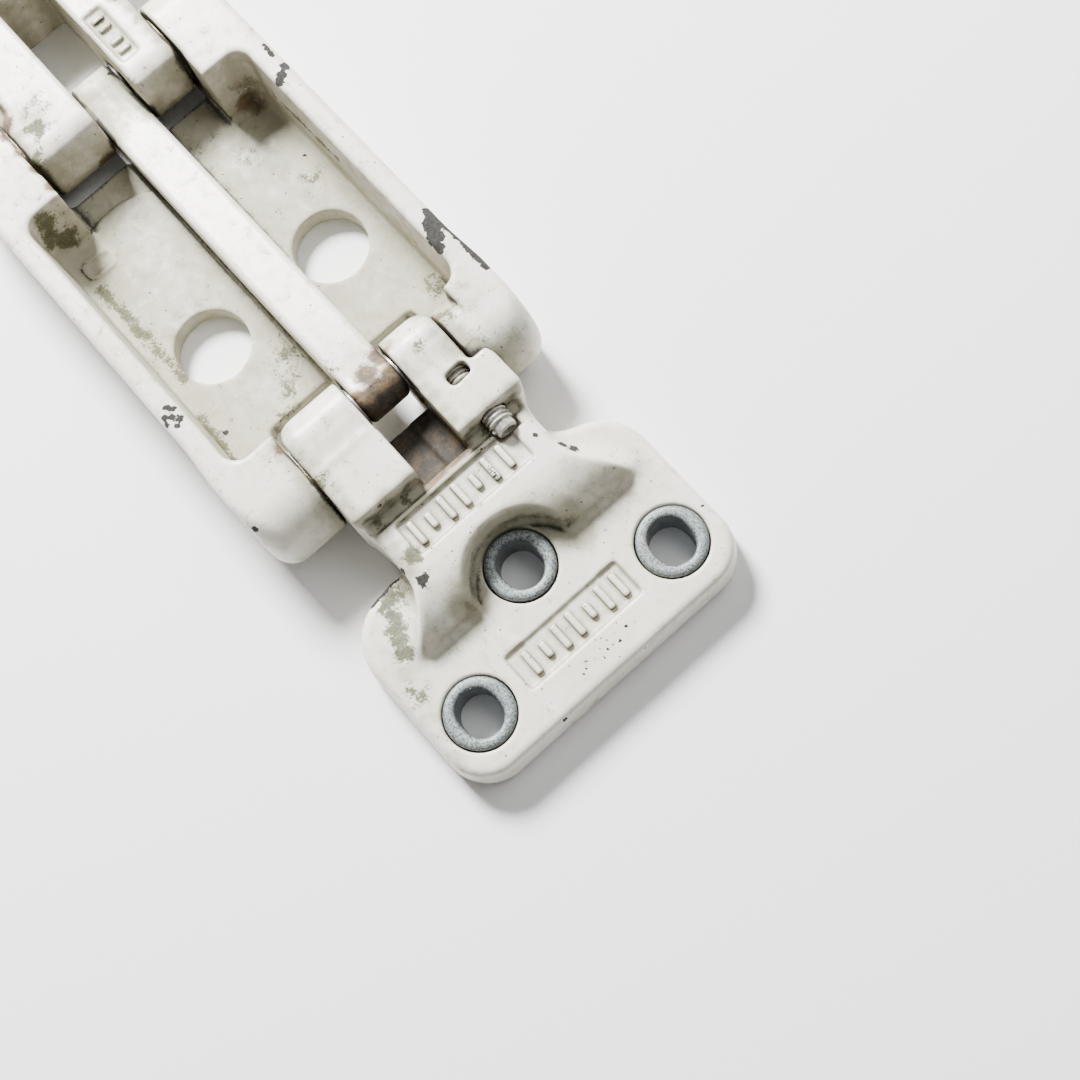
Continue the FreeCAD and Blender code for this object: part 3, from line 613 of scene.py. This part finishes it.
SASH_MARKS = {
    "grime_and_shade": [*[(*spot, 3.8, 0.7) for spot in SCOOP_WALL_SHADOW],
        *row((NECK_LABEL - 1.6, -10, 10.4), (NECK_LABEL - 1.6, 11, 10.4), 9, 2.2, 0.4),
        *row((NECK_LABEL, -10.5, 10.4), (NECK_LABEL + 6, -11.0, 10.4), 4, 2.0, 0.42),
        *row((97.0, -11.9, 12.6), (112, -11.9, 12.8), 8, 2.2, 0.5),
        *row((97.0, 11.9, 12.6), (104, 11.9, 12.8), 5, 2.2, 0.48),
        *row((EAR_BACK, -11, 12.6), (EAR_BACK, 14, 12.6), 8, 2.4, 0.5),
        *row((97, 5.8, 12.6), (111, 5.8, 13.0), 8, 1.8, 0.46), (124.5, 12.5, 7.5, 3.6, 0.3),
        (124.5, -12.5, 7.5, 3.6, 0.34), *row((127, -20, 5.4), (146, -22.5, 5.4), 7, 3.0, 0.18)],
    "moss": [*row((119.6, -15.2, 6.0), (128.0, -18.6, 5.6), 6, 2.4, 0.9), (121.5, -14.0, 7.0, 2.6, 0.8),
        (120.3, -9.6, 10.4, 2.0, 0.8), (113.8, -5.6, 10.4, 1.6, 0.8), (113.9, -10.2, 10.4, 1.6, 0.8),
        (113.7, 8.5, 10.2, 1.6, 0.7), (133.0, -21.0, 5.4, 3.0, 0.45), (105.5, -12.4, 13.0, 2.4, 0.6),
        (100.0, 9.0, 13.2, 2.0, 0.5)],
    # Marks on the web between the ears run past full strength to the darkest colour: dirt and a painted
    # shadow of the recess
    "stain_and_shade": [*row((105.6, 3.2, 6.3), (112.0, 3.2, 6.5), 6, 5.2, 1.5),
        *row((105.6, -0.4, 6.3), (112.0, -0.4, 6.5), 6, 5.2, 1.5), (105.0, 1.4, 5.0, 5.0, 1.0),
        (104.0, 5.2, 10.0, 3.6, 0.8), (104.0, -2.4, 10.0, 3.6, 0.7), (96.4, 8.5, 10.8, 1.8, 0.7),
        (98.2, 5.4, 12.6, 1.6, 0.6)],
    "chip": [*row((121.4, 14.2, 6.0), (122.0, 14.6, 10.0), 6, 1.1, 0.95),
        *row((122.6, 15.2, 6.0), (123.2, 15.6, 10.0), 6, 1.1, 0.95), (119.0, 12.4, 10.6, 0.6, 0.9),
        *row((119.4, -13.4, 4.9), (119.9, -17.6, 4.9), 10, 1.2, 0.95), (120.8, -11.9, 9.6, 1.0, 0.9),
        *row((122.6, -10.2, 8.0), (123.6, -10.8, 10.6), 5, 1.5, 0.8), (148.4, 4.6, 5.0, 0.6, 0.9),
        (148.4, -9.0, 5.0, 0.7, 0.9), (113.4, -8.6, 12.6, 0.9, 0.9), (113.4, 9.0, 12.8, 0.7, 0.9),
        (139.6, 22.6, 5.4, 0.5, 0.8), *[(*spot, 5.5, size, 0.9) for *spot, size in PITS]],
}
FRAME_MARKS = {
    "grime_and_shade": [*row((26, 12.0, 12.8), (42, 12.0, 12.8), 8, 1.8, 0.38),
        *row((26, -11.0, 12.8), (42, -12.0, 12.8), 8, 2.2, 0.4),
        *row((42.6, -11.0, 10.5), (42.6, 11.0, 10.5), 8, 3.2, 0.34), (33.0, 7.5, 12.9, 4.5, 0.22),
        (36.5, -8.5, 13.0, 4.5, 0.3), (20.0, 8.0, 10.0, 5.0, 0.3)],
    "moss": [(38.4, -9.1, 13.0, 2.4, 0.9), (41.6, -12.2, 12.0, 2.4, 0.8), (35.5, -7.0, 13.0, 3.0, 0.55),
        (42.5, 6.0, 12.4, 2.6, 0.5)],
    "stain_and_shade": [*row((30.0, -11.6, 12.0), (34.6, -11.8, 12.0), 4, 2.0, 0.9), (44.0, -4.0, 4.0, 3.0, 0.7),
        (27.0, 1.4, 8.0, 4.5, 0.9)],
    "chip": [(9.0, 18.0, 5.5, 1.0, 0.9), (-7.8, 6.0, 5.2, 1.0, 0.9), (17.0, -9.0, 9.5, 0.8, 0.9)],
}
LINK_MARKS = {
    "grime_and_shade": [*row((36, 5.2, 8.0), (96, 5.2, 12.6), 16, 0.8, 0.22), (38.0, 1.4, 8.2, 5.0, 0.22),
        (95.0, 1.4, 12.9, 3.5, 0.2)],
    "moss": [(94.0, -1.6, 12.6, 2.0, 0.5), (36.0, 4.4, 7.0, 1.6, 0.5)],
    "stain_and_shade": [(102.2, 1.4, 11.0, 4.2, 1.35), (101.6, 4.2, 11.0, 3.8, 1.3),
        (101.6, -1.6, 11.0, 3.8, 1.3), (97.6, 4.4, 12.4, 2.4, 0.7), (103.2, 1.4, 8.6, 3.6, 1.0),
        (98.4, 1.4, 13.0, 2.6, 0.6)],
    "chip": [(92.6, 4.3, 12.6, 0.6, 0.8), (34.6, 4.2, 6.6, 0.8, 0.8), (96.2, -0.6, 12.9, 0.4, 0.7)],
}

COARSE = 0.42
FINE = COARSE * 0.8
SASH_SPACE = grown((EYE_X - 5, -24, 0), (SASH_PLATE_X + 8.4, 24, 14.2))
FRAME_SPACE = grown((FRAME_PLATE_X - 8.4, -24, 0), (FRAME_X + 7, 24, 14))
arm = cast_piece("arm_casting", arm_field, *grown(ARM_LOW, ARM_HIGH), COARSE, whole_field, ARM_MARKS)
sash = cast_piece("sash_bracket_casting", sash_field, *SASH_SPACE, FINE, whole_field, SASH_MARKS)
fork = cast_piece("frame_bracket_casting", frame_field, *FRAME_SPACE, FINE, whole_field, FRAME_MARKS)
link = cast_piece("link_bar", link_field, *grown(LINK_LOW, LINK_HIGH), FINE, whole_field, LINK_MARKS)

# ------------------------ finishes


class Value:
    """A number that varies over a surface; arithmetic on it adds Math nodes."""

    def __init__(self, finish, socket):
        self.finish = finish
        self.socket = socket

    def math(self, operation, *others, clamp=False):
        settings = {"operation": operation, "use_clamp": clamp}
        node = self.finish.node("ShaderNodeMath", settings, (self, *others))
        return Value(self.finish, node.outputs[0])

    def __add__(self, other):
        return self.math("ADD", other)

    __radd__ = __add__

    def __mul__(self, other):
        return self.math("MULTIPLY", other)

    __rmul__ = __mul__

    def __sub__(self, other):
        return self.math("SUBTRACT", other)

    def __rsub__(self, other):
        return (self * -1.0) + other

    def clamped(self):
        return self.math("ADD", 0.0, clamp=True)

    def most(self, other):
        return self.math("MAXIMUM", other)

    def rise(self, low, high):
        """0 below low, 1 above high, a smooth step between them."""
        node = self.finish.node("ShaderNodeMapRange", {"interpolation_type": "SMOOTHSTEP"},
                                {"Value": self, "From Min": low, "From Max": high})
        return Value(self.finish, node.outputs["Result"])


class Finish:
    """One material: its nodes, and its place in millimetres to draw patterns from."""

    def __init__(self, name):
        self.material = bpy.data.materials.new(name)
        self.material.use_nodes = True
        self.nodes = self.material.node_tree.nodes
        self.surface = self.nodes["Principled BSDF"]
        place = self.node("ShaderNodeTexCoord").outputs["Object"]
        scaled = self.node("ShaderNodeVectorMath", {"operation": "SCALE"}, {0: place, "Scale": 1 / MM})
        self.place = scaled.outputs[0]

    def node(self, kind, settings=None, sockets=()):
        """Adds a node: its settings first, then the values or links of its sockets."""
        node = self.nodes.new(kind)
        for key, value in (settings or {}).items():
            setattr(node, key, value)
        pairs = sockets.items() if isinstance(sockets, dict) else enumerate(sockets)
        for key, value in pairs:
            self.put(self.find(node, key), value)
        return node

    @staticmethod
    def find(node, key):
        """A node's input by number, by identifier or else by name."""
        if isinstance(key, int):
            return node.inputs[key]
        by_identifier = [socket for socket in node.inputs if socket.identifier == key]
        return by_identifier[0] if by_identifier else node.inputs[key]

    def put(self, socket, value):
        """Links a value to a socket, or sets it as the socket's constant."""
        if isinstance(value, Value):
            value = value.socket
        if isinstance(value, bpy.types.NodeSocket):
            self.material.node_tree.links.new(value, socket)
        elif isinstance(value, tuple) and len(value) == 3 and len(socket.default_value) == 4:
            socket.default_value = (*value, 1.0)
        else:
            socket.default_value = value

    def attribute(self, name):
        return Value(self, self.node("ShaderNodeAttribute", {"attribute_name": name}).outputs["Fac"])

    def noise(self, per_mm, detail=3.0, roughness=0.55, stretch=None, distortion=0.0):
        """Cloudy pattern from about 0.25 to 0.75, with per_mm features in a millimetre."""
        place = self.place
        if stretch:
            node = self.node("ShaderNodeVectorMath", {"operation": "MULTIPLY"}, {0: place, 1: stretch})
            place = node.outputs[0]
        sockets = {"Vector": place, "Scale": per_mm, "Detail": detail, "Roughness": roughness,
                   "Distortion": distortion}
        return Value(self, self.node("ShaderNodeTexNoise", None, sockets).outputs[0])

    def specks(self, per_mm, share, size):
        """Small separate dots: share of the cells has one, size is its radius in cells."""
        sockets = {"Vector": self.place, "Scale": per_mm}
        node = self.node("ShaderNodeTexVoronoi", {"feature": "F1"}, sockets)
        pick = self.node("ShaderNodeSeparateColor", None, {0: node.outputs["Color"]})
        chosen = Value(self, pick.outputs[0]).rise(1 - share, 1 - share + 0.02)
        ragged = Value(self, node.outputs["Distance"]) + 0.25 * size * self.noise(per_mm * 5)
        return (1 - ragged.rise(size * 0.8, size)) * chosen

    def mix(self, share, first, second):
        """Colour: first where share is 0, second where it is 1."""
        node = self.node("ShaderNodeMix", {"data_type": "RGBA"},
                         {"Factor_Float": share, "A_Color": first, "B_Color": second})
        return node.outputs[2]

    def bump(self, height, depth_mm):
        sockets = {"Height": height, "Distance": depth_mm * MM, "Strength": 1.0}
        return self.node("ShaderNodeBump", None, sockets).outputs["Normal"]

    def finish(self, colour, roughness, metallic, normal, more=None):
        """Connects the surface, with any further inputs by name, and returns the material."""
        inputs = {"Base Color": colour, "Roughness": roughness, "Metallic": metallic, "Normal": normal}
        for key, value in {**inputs, **(more or {})}.items():
            self.put(self.surface.inputs[key], value)
        return self.material


def worn_coat():
    """Off-white powder coat with dirt and painted shade in corners and gaps, moss, rust-brown to
    near-black marks that also paint shadow in recesses, and chips down to the metal.
    """
    f = Finish("worn_powder_coat")
    broad = f.noise(0.09, 2.0)
    middle = f.noise(0.55, 4.0, 0.6)
    fine = f.noise(2.6, 4.0, 0.62)
    cavity_shade_and_grime = f.attribute("cavity_shade_and_grime")
    paint = f.mix(broad.rise(0.35, 0.65), (0.74, 0.705, 0.625), (0.68, 0.642, 0.545))
    paint = f.mix((middle.rise(0.5, 0.72) * 0.4).clamped(), paint, (0.58, 0.535, 0.42))

    # Olive film: real dirt, and painted shade that grows the more closed in a spot is
    film_and_shade = (cavity_shade_and_grime * 1.9 + (middle - 0.5) * 0.8 + (fine - 0.5) * 0.35).rise(-0.10, 0.75)
    # Painted shadow, almost black, in tight creases and the gaps between parts
    crease_shade = (cavity_shade_and_grime + (middle - 0.5) * 0.45 + (fine - 0.5) * 0.3).rise(0.52, 0.92)
    smudge = (f.noise(0.28, 5.0, 0.7, distortion=0.6) + cavity_shade_and_grime * 0.35).rise(0.56, 0.80)
    colour = f.mix(film_and_shade * 0.74, paint, (0.265, 0.250, 0.165))
    colour = f.mix(smudge * 0.40, colour, (0.25, 0.225, 0.145))
    colour = f.mix(crease_shade * 0.92, colour, (0.022, 0.019, 0.013))

    moss = (f.attribute("moss") * 1.5 + (middle - 0.5) * 2.0 + (fine - 0.5) * 1.6).rise(0.36, 0.86)
    moss_colour = f.mix(fine.rise(0.35, 0.65), (0.016, 0.020, 0.005), (0.080, 0.085, 0.024))
    colour = f.mix(moss * 0.86, colour, moss_colour)
    stain_and_shade = (f.attribute("stain_and_shade") * 2.4 + (middle - 0.5) * 1.1 + (fine - 0.5) * 0.7).rise(0.15, 0.80)
    blotches = (middle * 0.6 + fine * 0.4).rise(0.40, 0.62)
    rust = f.mix(blotches, (0.040, 0.022, 0.009), (0.17, 0.108, 0.054))
    # The darkest colour is soot, and painted shadow on the web between the sash bracket's ears
    blotches = (middle * 0.7 + fine * 0.3).rise(0.42, 0.64)
    soot_and_shade = f.mix(blotches, (0.010, 0.007, 0.004), (0.070, 0.047, 0.026))
    stain_and_shade_colour = f.mix(f.attribute("stain_and_shade").rise(0.6, 0.95), rust, soot_and_shade)
    colour = f.mix(stain_and_shade * 0.95, colour, stain_and_shade_colour)

    ragged = f.noise(1.1, 5.0, 0.7)
    chip = (f.attribute("chip") * 1.2 + (ragged - 0.5) * 1.5).rise(0.42, 0.45)
    worn_edge = f.attribute("edge") * 1.1 + (f.noise(0.35, 3.0) - 0.5) * 1.5 + (fine - 0.5) * 0.5
    worn_edge = worn_edge.rise(0.76, 0.80)
    dots = f.specks(0.55, 0.38, 0.085).most(f.specks(1.1, 0.22, 0.12))
    bare = chip.most(worn_edge).most(dots * 0.85)
    metal = f.mix(fine.rise(0.3, 0.7), (0.014, 0.013, 0.011), (0.040, 0.038, 0.033))
    colour = f.mix(bare, colour, metal)

    dirt = film_and_shade.most(moss).most(stain_and_shade)
    roughness = (0.34 + 0.12 * middle + 0.34 * dirt + 0.45 * bare).clamped()
    skin = f.noise(1.3, 2.0)
    gloss = 0.15 * (1 - bare.most(dirt))
    relief = skin * 0.16 + fine * 0.05 + moss * fine * 0.9 + stain_and_shade * middle * 0.5 - bare * 0.9
    more = {"Coat Weight": gloss, "Coat Roughness": 0.2, "Specular IOR Level": 0.4}
    return f.finish(colour, roughness, 0.0, f.bump(relief, 0.12), more)


def zinc_cast():
    """Hot-dip galvanised steel: blue-grey with a fine bright grain."""
    f = Finish("galvanised_steel")
    grain = f.noise(4.2, 3.0, 0.7)
    cloud = f.noise(0.9, 3.0)
    colour = f.mix(grain.rise(0.36, 0.62), (0.060, 0.075, 0.077), (0.28, 0.31, 0.305))
    colour = f.mix(cloud.rise(0.5, 0.75) * 0.4, colour, (0.30, 0.31, 0.27))
    pits = f.specks(1.6, 0.5, 0.13)
    colour = f.mix(pits * 0.7, colour, (0.03, 0.035, 0.03))
    height = f.node("ShaderNodeSeparateXYZ", None, {0: f.place}).outputs["Z"]
    inside = 1 - Value(f, height).rise(LINER_TOP - 1.2, LINER_TOP - 0.5)
    colour = f.mix(inside * 0.8, colour, (0.22, 0.235, 0.24))
    rough = 0.42 + 0.22 * grain + 0.2 * pits
    relief = grain * 0.8 + cloud * 0.4 - pits * 0.6
    return f.finish(colour, rough.clamped(), 0.55, f.bump(relief, 0.07))


def plain_metal(name, dark, light, rough, metallic, lines=None, rust=0.0):
    """Turned or rolled metal with fine lines, slight tarnish and optional rust."""
    f = Finish(name)
    grain = f.noise(2.2, 3.0, 0.6, stretch=lines)
    cloud = f.noise(0.6, 3.0)
    colour = f.mix(grain.rise(0.35, 0.65), dark, light)
    tarnish = (cloud + (grain - 0.5) * 0.5).rise(0.52, 0.70)
    colour = f.mix(tarnish * (0.25 + rust), colour, (0.10, 0.062, 0.035))
    rough = rough + 0.14 * grain + 0.25 * tarnish
    return f.finish(colour, rough.clamped(), metallic, f.bump(grain * 0.6 + tarnish * 0.4, 0.03))


COAT = worn_coat()
ZINC = zinc_cast()
ROUND_LINES = (5.0, 0.6, 5.0)
PIN_STEEL = plain_metal("pin_steel", (0.30, 0.30, 0.30), (0.52, 0.52, 0.51), 0.24, 0.95, ROUND_LINES)
SCREW_STEEL = plain_metal("screw_steel", (0.34, 0.325, 0.285), (0.62, 0.595, 0.53), 0.42, 0.35, rust=0.25)
BRONZE = plain_metal("bush_bronze", (0.20, 0.135, 0.065), (0.42, 0.30, 0.17), 0.42, 0.75)
FRICTION = plain_metal("friction_disc", (0.15, 0.12, 0.08), (0.32, 0.26, 0.17), 0.5, 0.6, rust=0.3)
WASHER = plain_metal("thin_washer", (0.20, 0.20, 0.20), (0.38, 0.38, 0.38), 0.4, 0.85, rust=0.2)

CARRIED = {"pivot_pin": PIN_STEEL, "link_pin": PIN_STEEL, "bush": BRONZE, "friction_washer": FRICTION,
           "link_washer": WASHER, "insert": ZINC, "grub_screw": SCREW_STEEL}
for name, node in frame["nodes"].items():
    finish = next((made for word, made in CARRIED.items() if word in name), COAT)
    for index in range(max(len(node.data.materials), 1)):
        if node.data.materials:
            node.data.materials[index] = finish
        else:
            node.data.materials.append(finish)

# ------------------------ repeated parts, by geometry nodes


def close_loops(rings):
    """One closed skin from loops of points, each joined to the next and the last to the first."""
    count = len(rings[0])
    faces = []
    for level in range(len(rings)):
        below = level * count
        above = (level + 1) % len(rings) * count
        for i in range(count):
            after = (i + 1) % count
            faces.append((below + i, below + after, above + after, above + i))
    return [tuple(c * MM for c in point) for ring in rings for point in ring], faces


def liner_mesh(top):
    """Screw-hole liner: a thick ring with soft edges and a slightly long hole."""
    outer = LINER_RADIUS - 0.22
    bore = 2.85
    half_slot = 0.5
    sides = 72

    def loop(radius, slot, z):
        points = []
        for i in range(sides):
            angle = 2 * math.pi * i / sides
            push = slot * max(-1.0, min(1.0, 3 * math.cos(angle)))
            points.append((radius * math.cos(angle) + push, radius * math.sin(angle), z))
        return points

    profile = [(outer, 0, 0.4), (outer, 0, top - 0.40), (outer - 0.10, 0, top - 0.16),
               (outer - 0.35, 0, top - 0.02), (outer - 0.70, 0, top), (bore + 0.55, half_slot, top),
               (bore + 0.25, half_slot, top - 0.05), (bore + 0.06, half_slot, top - 0.22),
               (bore, half_slot, top - 0.5), (bore, half_slot, 0.1), (outer - 0.3, 0, 0.1)]
    points, faces = close_loops([loop(*level) for level in profile])
    mesh = bpy.data.meshes.new("liner_shape")
    mesh.from_pydata(points, [], faces)
    return facing_out(mesh)


def facing_out(mesh):
    """Turns a closed mesh's faces outward and shades them smooth."""
    work = bmesh.new()
    work.from_mesh(mesh)
    bmesh.ops.recalc_face_normals(work, faces=work.faces)
    for face in work.faces:
        face.smooth = True
    work.to_mesh(mesh)
    work.free()
    return mesh


def node_group(name, *inputs):
    """An empty geometry node tree with the given inputs after its geometry, and its two end nodes."""
    tree = bpy.data.node_groups.new(name, "GeometryNodeTree")
    tree.interface.new_socket("Geometry", in_out="INPUT", socket_type="NodeSocketGeometry")
    for label, kind in inputs:
        tree.interface.new_socket(label, in_out="INPUT", socket_type=kind)
    tree.interface.new_socket("Geometry", in_out="OUTPUT", socket_type="NodeSocketGeometry")
    return tree, tree.nodes.new("NodeGroupInput"), tree.nodes.new("NodeGroupOutput")


def end_with(tree, geometry, ends, finish):
    """Realizes what is left as instances and gives it its material."""
    real = tree.nodes.new("GeometryNodeRealizeInstances")
    paint = tree.nodes.new("GeometryNodeSetMaterial")
    paint.inputs["Material"].default_value = finish
    tree.links.new(geometry, real.inputs["Geometry"])
    tree.links.new(real.outputs["Geometry"], paint.inputs["Geometry"])
    tree.links.new(paint.outputs["Geometry"], ends.inputs["Geometry"])


def baked(name, mesh, tree, values):
    """Runs a geometry node tree on a mesh once and keeps the result as one plain mesh."""
    source = placed(name + "_source", mesh)
    modifier = source.modifiers.new("shape", "NODES")
    modifier.node_group = tree
    inputs = [item for item in tree.interface.items_tree if item.in_out == "INPUT"]
    identifiers = {item.name: item.identifier for item in inputs}
    for label, value in values.items():
        modifier[identifiers[label]] = value
    bpy.context.view_layer.update()
    made = bpy.data.meshes.new_from_object(source.evaluated_get(bpy.context.evaluated_depsgraph_get()))
    made.name = name
    bpy.data.objects.remove(source)
    made.polygons.foreach_set("use_smooth", [True] * len(made.polygons))
    return placed(name, made)


def liner_tree():
    """One liner on each point, each turned a little its own way."""
    tree, begin, ends = node_group("liners_on_points", ("Shape", "NodeSocketObject"),
                                   ("Seed", "NodeSocketInt"))
    turn_limit = 0.06
    shape = tree.nodes.new("GeometryNodeObjectInfo")
    tree.links.new(begin.outputs["Shape"], shape.inputs["Object"])
    spin = tree.nodes.new("FunctionNodeRandomValue")
    spin.data_type = "FLOAT_VECTOR"
    spin.inputs["Min"].default_value = (0, 0, -turn_limit)
    spin.inputs["Max"].default_value = (0, 0, turn_limit)
    tree.links.new(begin.outputs["Seed"], spin.inputs["Seed"])
    copies = tree.nodes.new("GeometryNodeInstanceOnPoints")
    tree.links.new(begin.outputs["Geometry"], copies.inputs["Points"])
    tree.links.new(shape.outputs["Geometry"], copies.inputs["Instance"])
    tree.links.new(spin.outputs["Value"], copies.inputs["Rotation"])
    end_with(tree, copies.outputs["Instances"], ends, ZINC)
    return tree


def screw_tree():
    """Winds a thread around the screw body that comes in."""
    tree, begin, ends = node_group("thread_on_body", ("Turns", "NodeSocketFloat"),
                                   ("Length", "NodeSocketFloat"), ("Radius", "NodeSocketFloat"),
                                   ("Place", "NodeSocketVector"))
    spiral = tree.nodes.new("GeometryNodeCurveSpiral")
    spiral.inputs["Resolution"].default_value = 28
    sources = {"Rotations": "Turns", "Start Radius": "Radius", "End Radius": "Radius",
               "Height": "Length"}
    for label, source in sources.items():
        tree.links.new(begin.outputs[source], spiral.inputs[label])
    ridge = tree.nodes.new("GeometryNodeCurvePrimitiveCircle")
    ridge.inputs["Resolution"].default_value = 6
    ridge.inputs["Radius"].default_value = 0.24 * MM
    sweep = tree.nodes.new("GeometryNodeCurveToMesh")
    sweep.inputs["Fill Caps"].default_value = True
    tree.links.new(spiral.outputs["Curve"], sweep.inputs["Curve"])
    tree.links.new(ridge.outputs["Curve"], sweep.inputs["Profile Curve"])
    both_parts = tree.nodes.new("GeometryNodeJoinGeometry")
    tree.links.new(sweep.outputs["Mesh"], both_parts.inputs["Geometry"])
    tree.links.new(begin.outputs["Geometry"], both_parts.inputs["Geometry"])
    lay = tree.nodes.new("GeometryNodeTransform")
    lay.inputs["Rotation"].default_value = (0, math.pi / 2, 0)
    tree.links.new(both_parts.outputs["Geometry"], lay.inputs["Geometry"])
    tree.links.new(begin.outputs["Place"], lay.inputs["Translation"])
    end_with(tree, lay.outputs["Geometry"], ends, SCREW_STEEL)
    return tree


def screw_body(length, socket_at_end):
    """Core of a set screw with a six-sided socket in one end, standing along +Z."""
    core = GRUB_RADIUS - 0.36
    socket = 1.0
    depth = 2.0
    corners = 48

    def loop(radius, z, sides=0):
        points = []
        for i in range(corners):
            angle = 2 * math.pi * i / corners
            reach = radius
            if sides:
                part = angle % (2 * math.pi / sides) - math.pi / sides
                reach = radius / math.cos(part)
            points.append((reach * math.cos(angle), reach * math.sin(angle), z))
        return points

    profile = [loop(0.15, depth), loop(socket, depth, 6), loop(socket, 0.12, 6), loop(socket + 0.12, 0.0),
               loop(core - 0.15, 0.0), loop(core, 0.3), loop(core, length - 0.5),
               loop(core - 0.5, length), loop(0.15, length)]
    if socket_at_end:
        profile = [[(x, y, length - z) for x, y, z in ring] for ring in profile]
    points, faces = close_loops(profile)
    mesh = bpy.data.meshes.new("screw_core")
    mesh.from_pydata(points, [], faces[:-corners])
    work = bmesh.new()
    work.from_mesh(mesh)
    rims = [edge for edge in work.edges if edge.is_boundary]
    bmesh.ops.holes_fill(work, edges=rims, sides=0)
    work.to_mesh(mesh)
    work.free()
    return facing_out(mesh)


def mount_liners(name, body, screws, nodes, tree, seed):
    """Adds one bracket's three liners."""
    template = placed("liner_template", liner_mesh(LINER_TOP))
    points = bpy.data.meshes.new(name + "_points")
    points.from_pydata([(x * MM, y * MM, 0) for x, y, _ in screws], [], [])
    piece = baked(name, points, tree, {"Shape": template, "Seed": seed})
    bpy.data.objects.remove(template)
    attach(piece, body)
    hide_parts(*nodes)


def mount_screw(name, node, body, tree, socket_at_end):
    """Adds one bracket's set screw."""
    (low_x, _, _), (high_x, _, _) = node_box(node)
    length = high_x - low_x
    threaded = length - 1.0
    values = {"Turns": threaded / PITCH, "Length": threaded * MM, "Radius": (GRUB_RADIUS - 0.26) * MM,
              "Place": (low_x * MM, GRUB_Y * MM, GRUB_Z * MM)}
    piece = baked(name, screw_body(length, socket_at_end), tree, values)
    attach(piece, body)
    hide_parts(node)


PITCH = 0.7
LINERS = liner_tree()
THREAD = screw_tree()
mount_liners("sash_liners", "sash_bracket", SASH_SCREWS, SASH_INSERTS, LINERS, 3)
mount_liners("frame_liners", "frame_bracket", FRAME_SCREWS, FRAME_INSERTS, LINERS, 8)
mount_screw("sash_set_screw", "sash_grub_screw", "sash_bracket", THREAD, True)
mount_screw("frame_set_screw", "frame_grub_screw", "frame_bracket", THREAD, False)

PIECES = ((arm, "main_arm", "main_arm"), (sash, "sash_bracket", "sash_bracket"),
          (fork, "frame_bracket", "frame_bracket"), (link, "control_link", "control_link"))
for piece, body, node in PIECES:
    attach(piece, body)
    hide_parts(node)
    piece.data.materials.append(COAT)

# ------------------------ stage, light and camera

FLOOR_HALF = 2
FLOOR_CORNERS = [(-FLOOR_HALF, -FLOOR_HALF, 0), (FLOOR_HALF, -FLOOR_HALF, 0),
                 (FLOOR_HALF, FLOOR_HALF, 0), (-FLOOR_HALF, FLOOR_HALF, 0)]
floor_mesh = bpy.data.meshes.new("floor")
floor_mesh.from_pydata(FLOOR_CORNERS, [], [(0, 1, 2, 3)])
floor = placed("floor", floor_mesh)
paper = bpy.data.materials.new("paper")
paper.use_nodes = True
paper_surface = paper.node_tree.nodes["Principled BSDF"]
paper_surface.inputs["Base Color"].default_value = (0.86, 0.86, 0.86, 1)
paper_surface.inputs["Roughness"].default_value = 0.9
floor_mesh.materials.append(paper)

world = bpy.data.worlds.new("studio")
bpy.context.scene.world = world
world.use_nodes = True
sky = world.node_tree.nodes["Background"]
sky.inputs["Color"].default_value = (1, 1, 1, 1)
sky.inputs["Strength"].default_value = 0.23

HINGE_MIDDLE = Vector((0.07, 0, 0))


def soft_light(name, place, size, watts):
    lamp = bpy.data.lights.new(name, "AREA")
    lamp.shape = "DISK"
    lamp.size = size
    lamp.energy = watts
    light = placed(name, lamp)
    light.location = place
    light.rotation_euler = (HINGE_MIDDLE - Vector(place)).to_track_quat("-Z", "Y").to_euler()


soft_light("key", (-0.36, 0.06, 0.40), 0.20, 22.0)
soft_light("fill", (0.10, 0.35, 0.50), 0.5, 2.0)

CAMERA_PLACE = Vector((0.1810, -0.0137, 0.2059))
CAMERA_AIM = Vector((0.1271, 0.0046, 0.0))
HINGE_SLANT = math.radians(47.2)    # the hinge runs down to the right in the view
SENSOR_WIDTH = 36.0
FOCAL_IN_WIDTHS = 40 / 27           # focal length as a share of the sensor's width

camera_data = bpy.data.cameras.new("camera")
camera_data.sensor_width = SENSOR_WIDTH
camera_data.lens = SENSOR_WIDTH * FOCAL_IN_WIDTHS
camera_data.clip_start = 0.01
camera = placed("camera", camera_data)
forward = (CAMERA_AIM - CAMERA_PLACE).normalized()
along = Vector((1, 0, 0))
along = (along - forward * along.dot(forward)).normalized()
down = forward.cross(along)
right = along * math.cos(HINGE_SLANT) - down * math.sin(HINGE_SLANT)
up = -(along * math.sin(HINGE_SLANT) + down * math.cos(HINGE_SLANT))
turn = Matrix((right, up, -forward)).transposed()
camera.matrix_world = Matrix.Translation(CAMERA_PLACE) @ turn.to_4x4()
bpy.context.scene.camera = camera
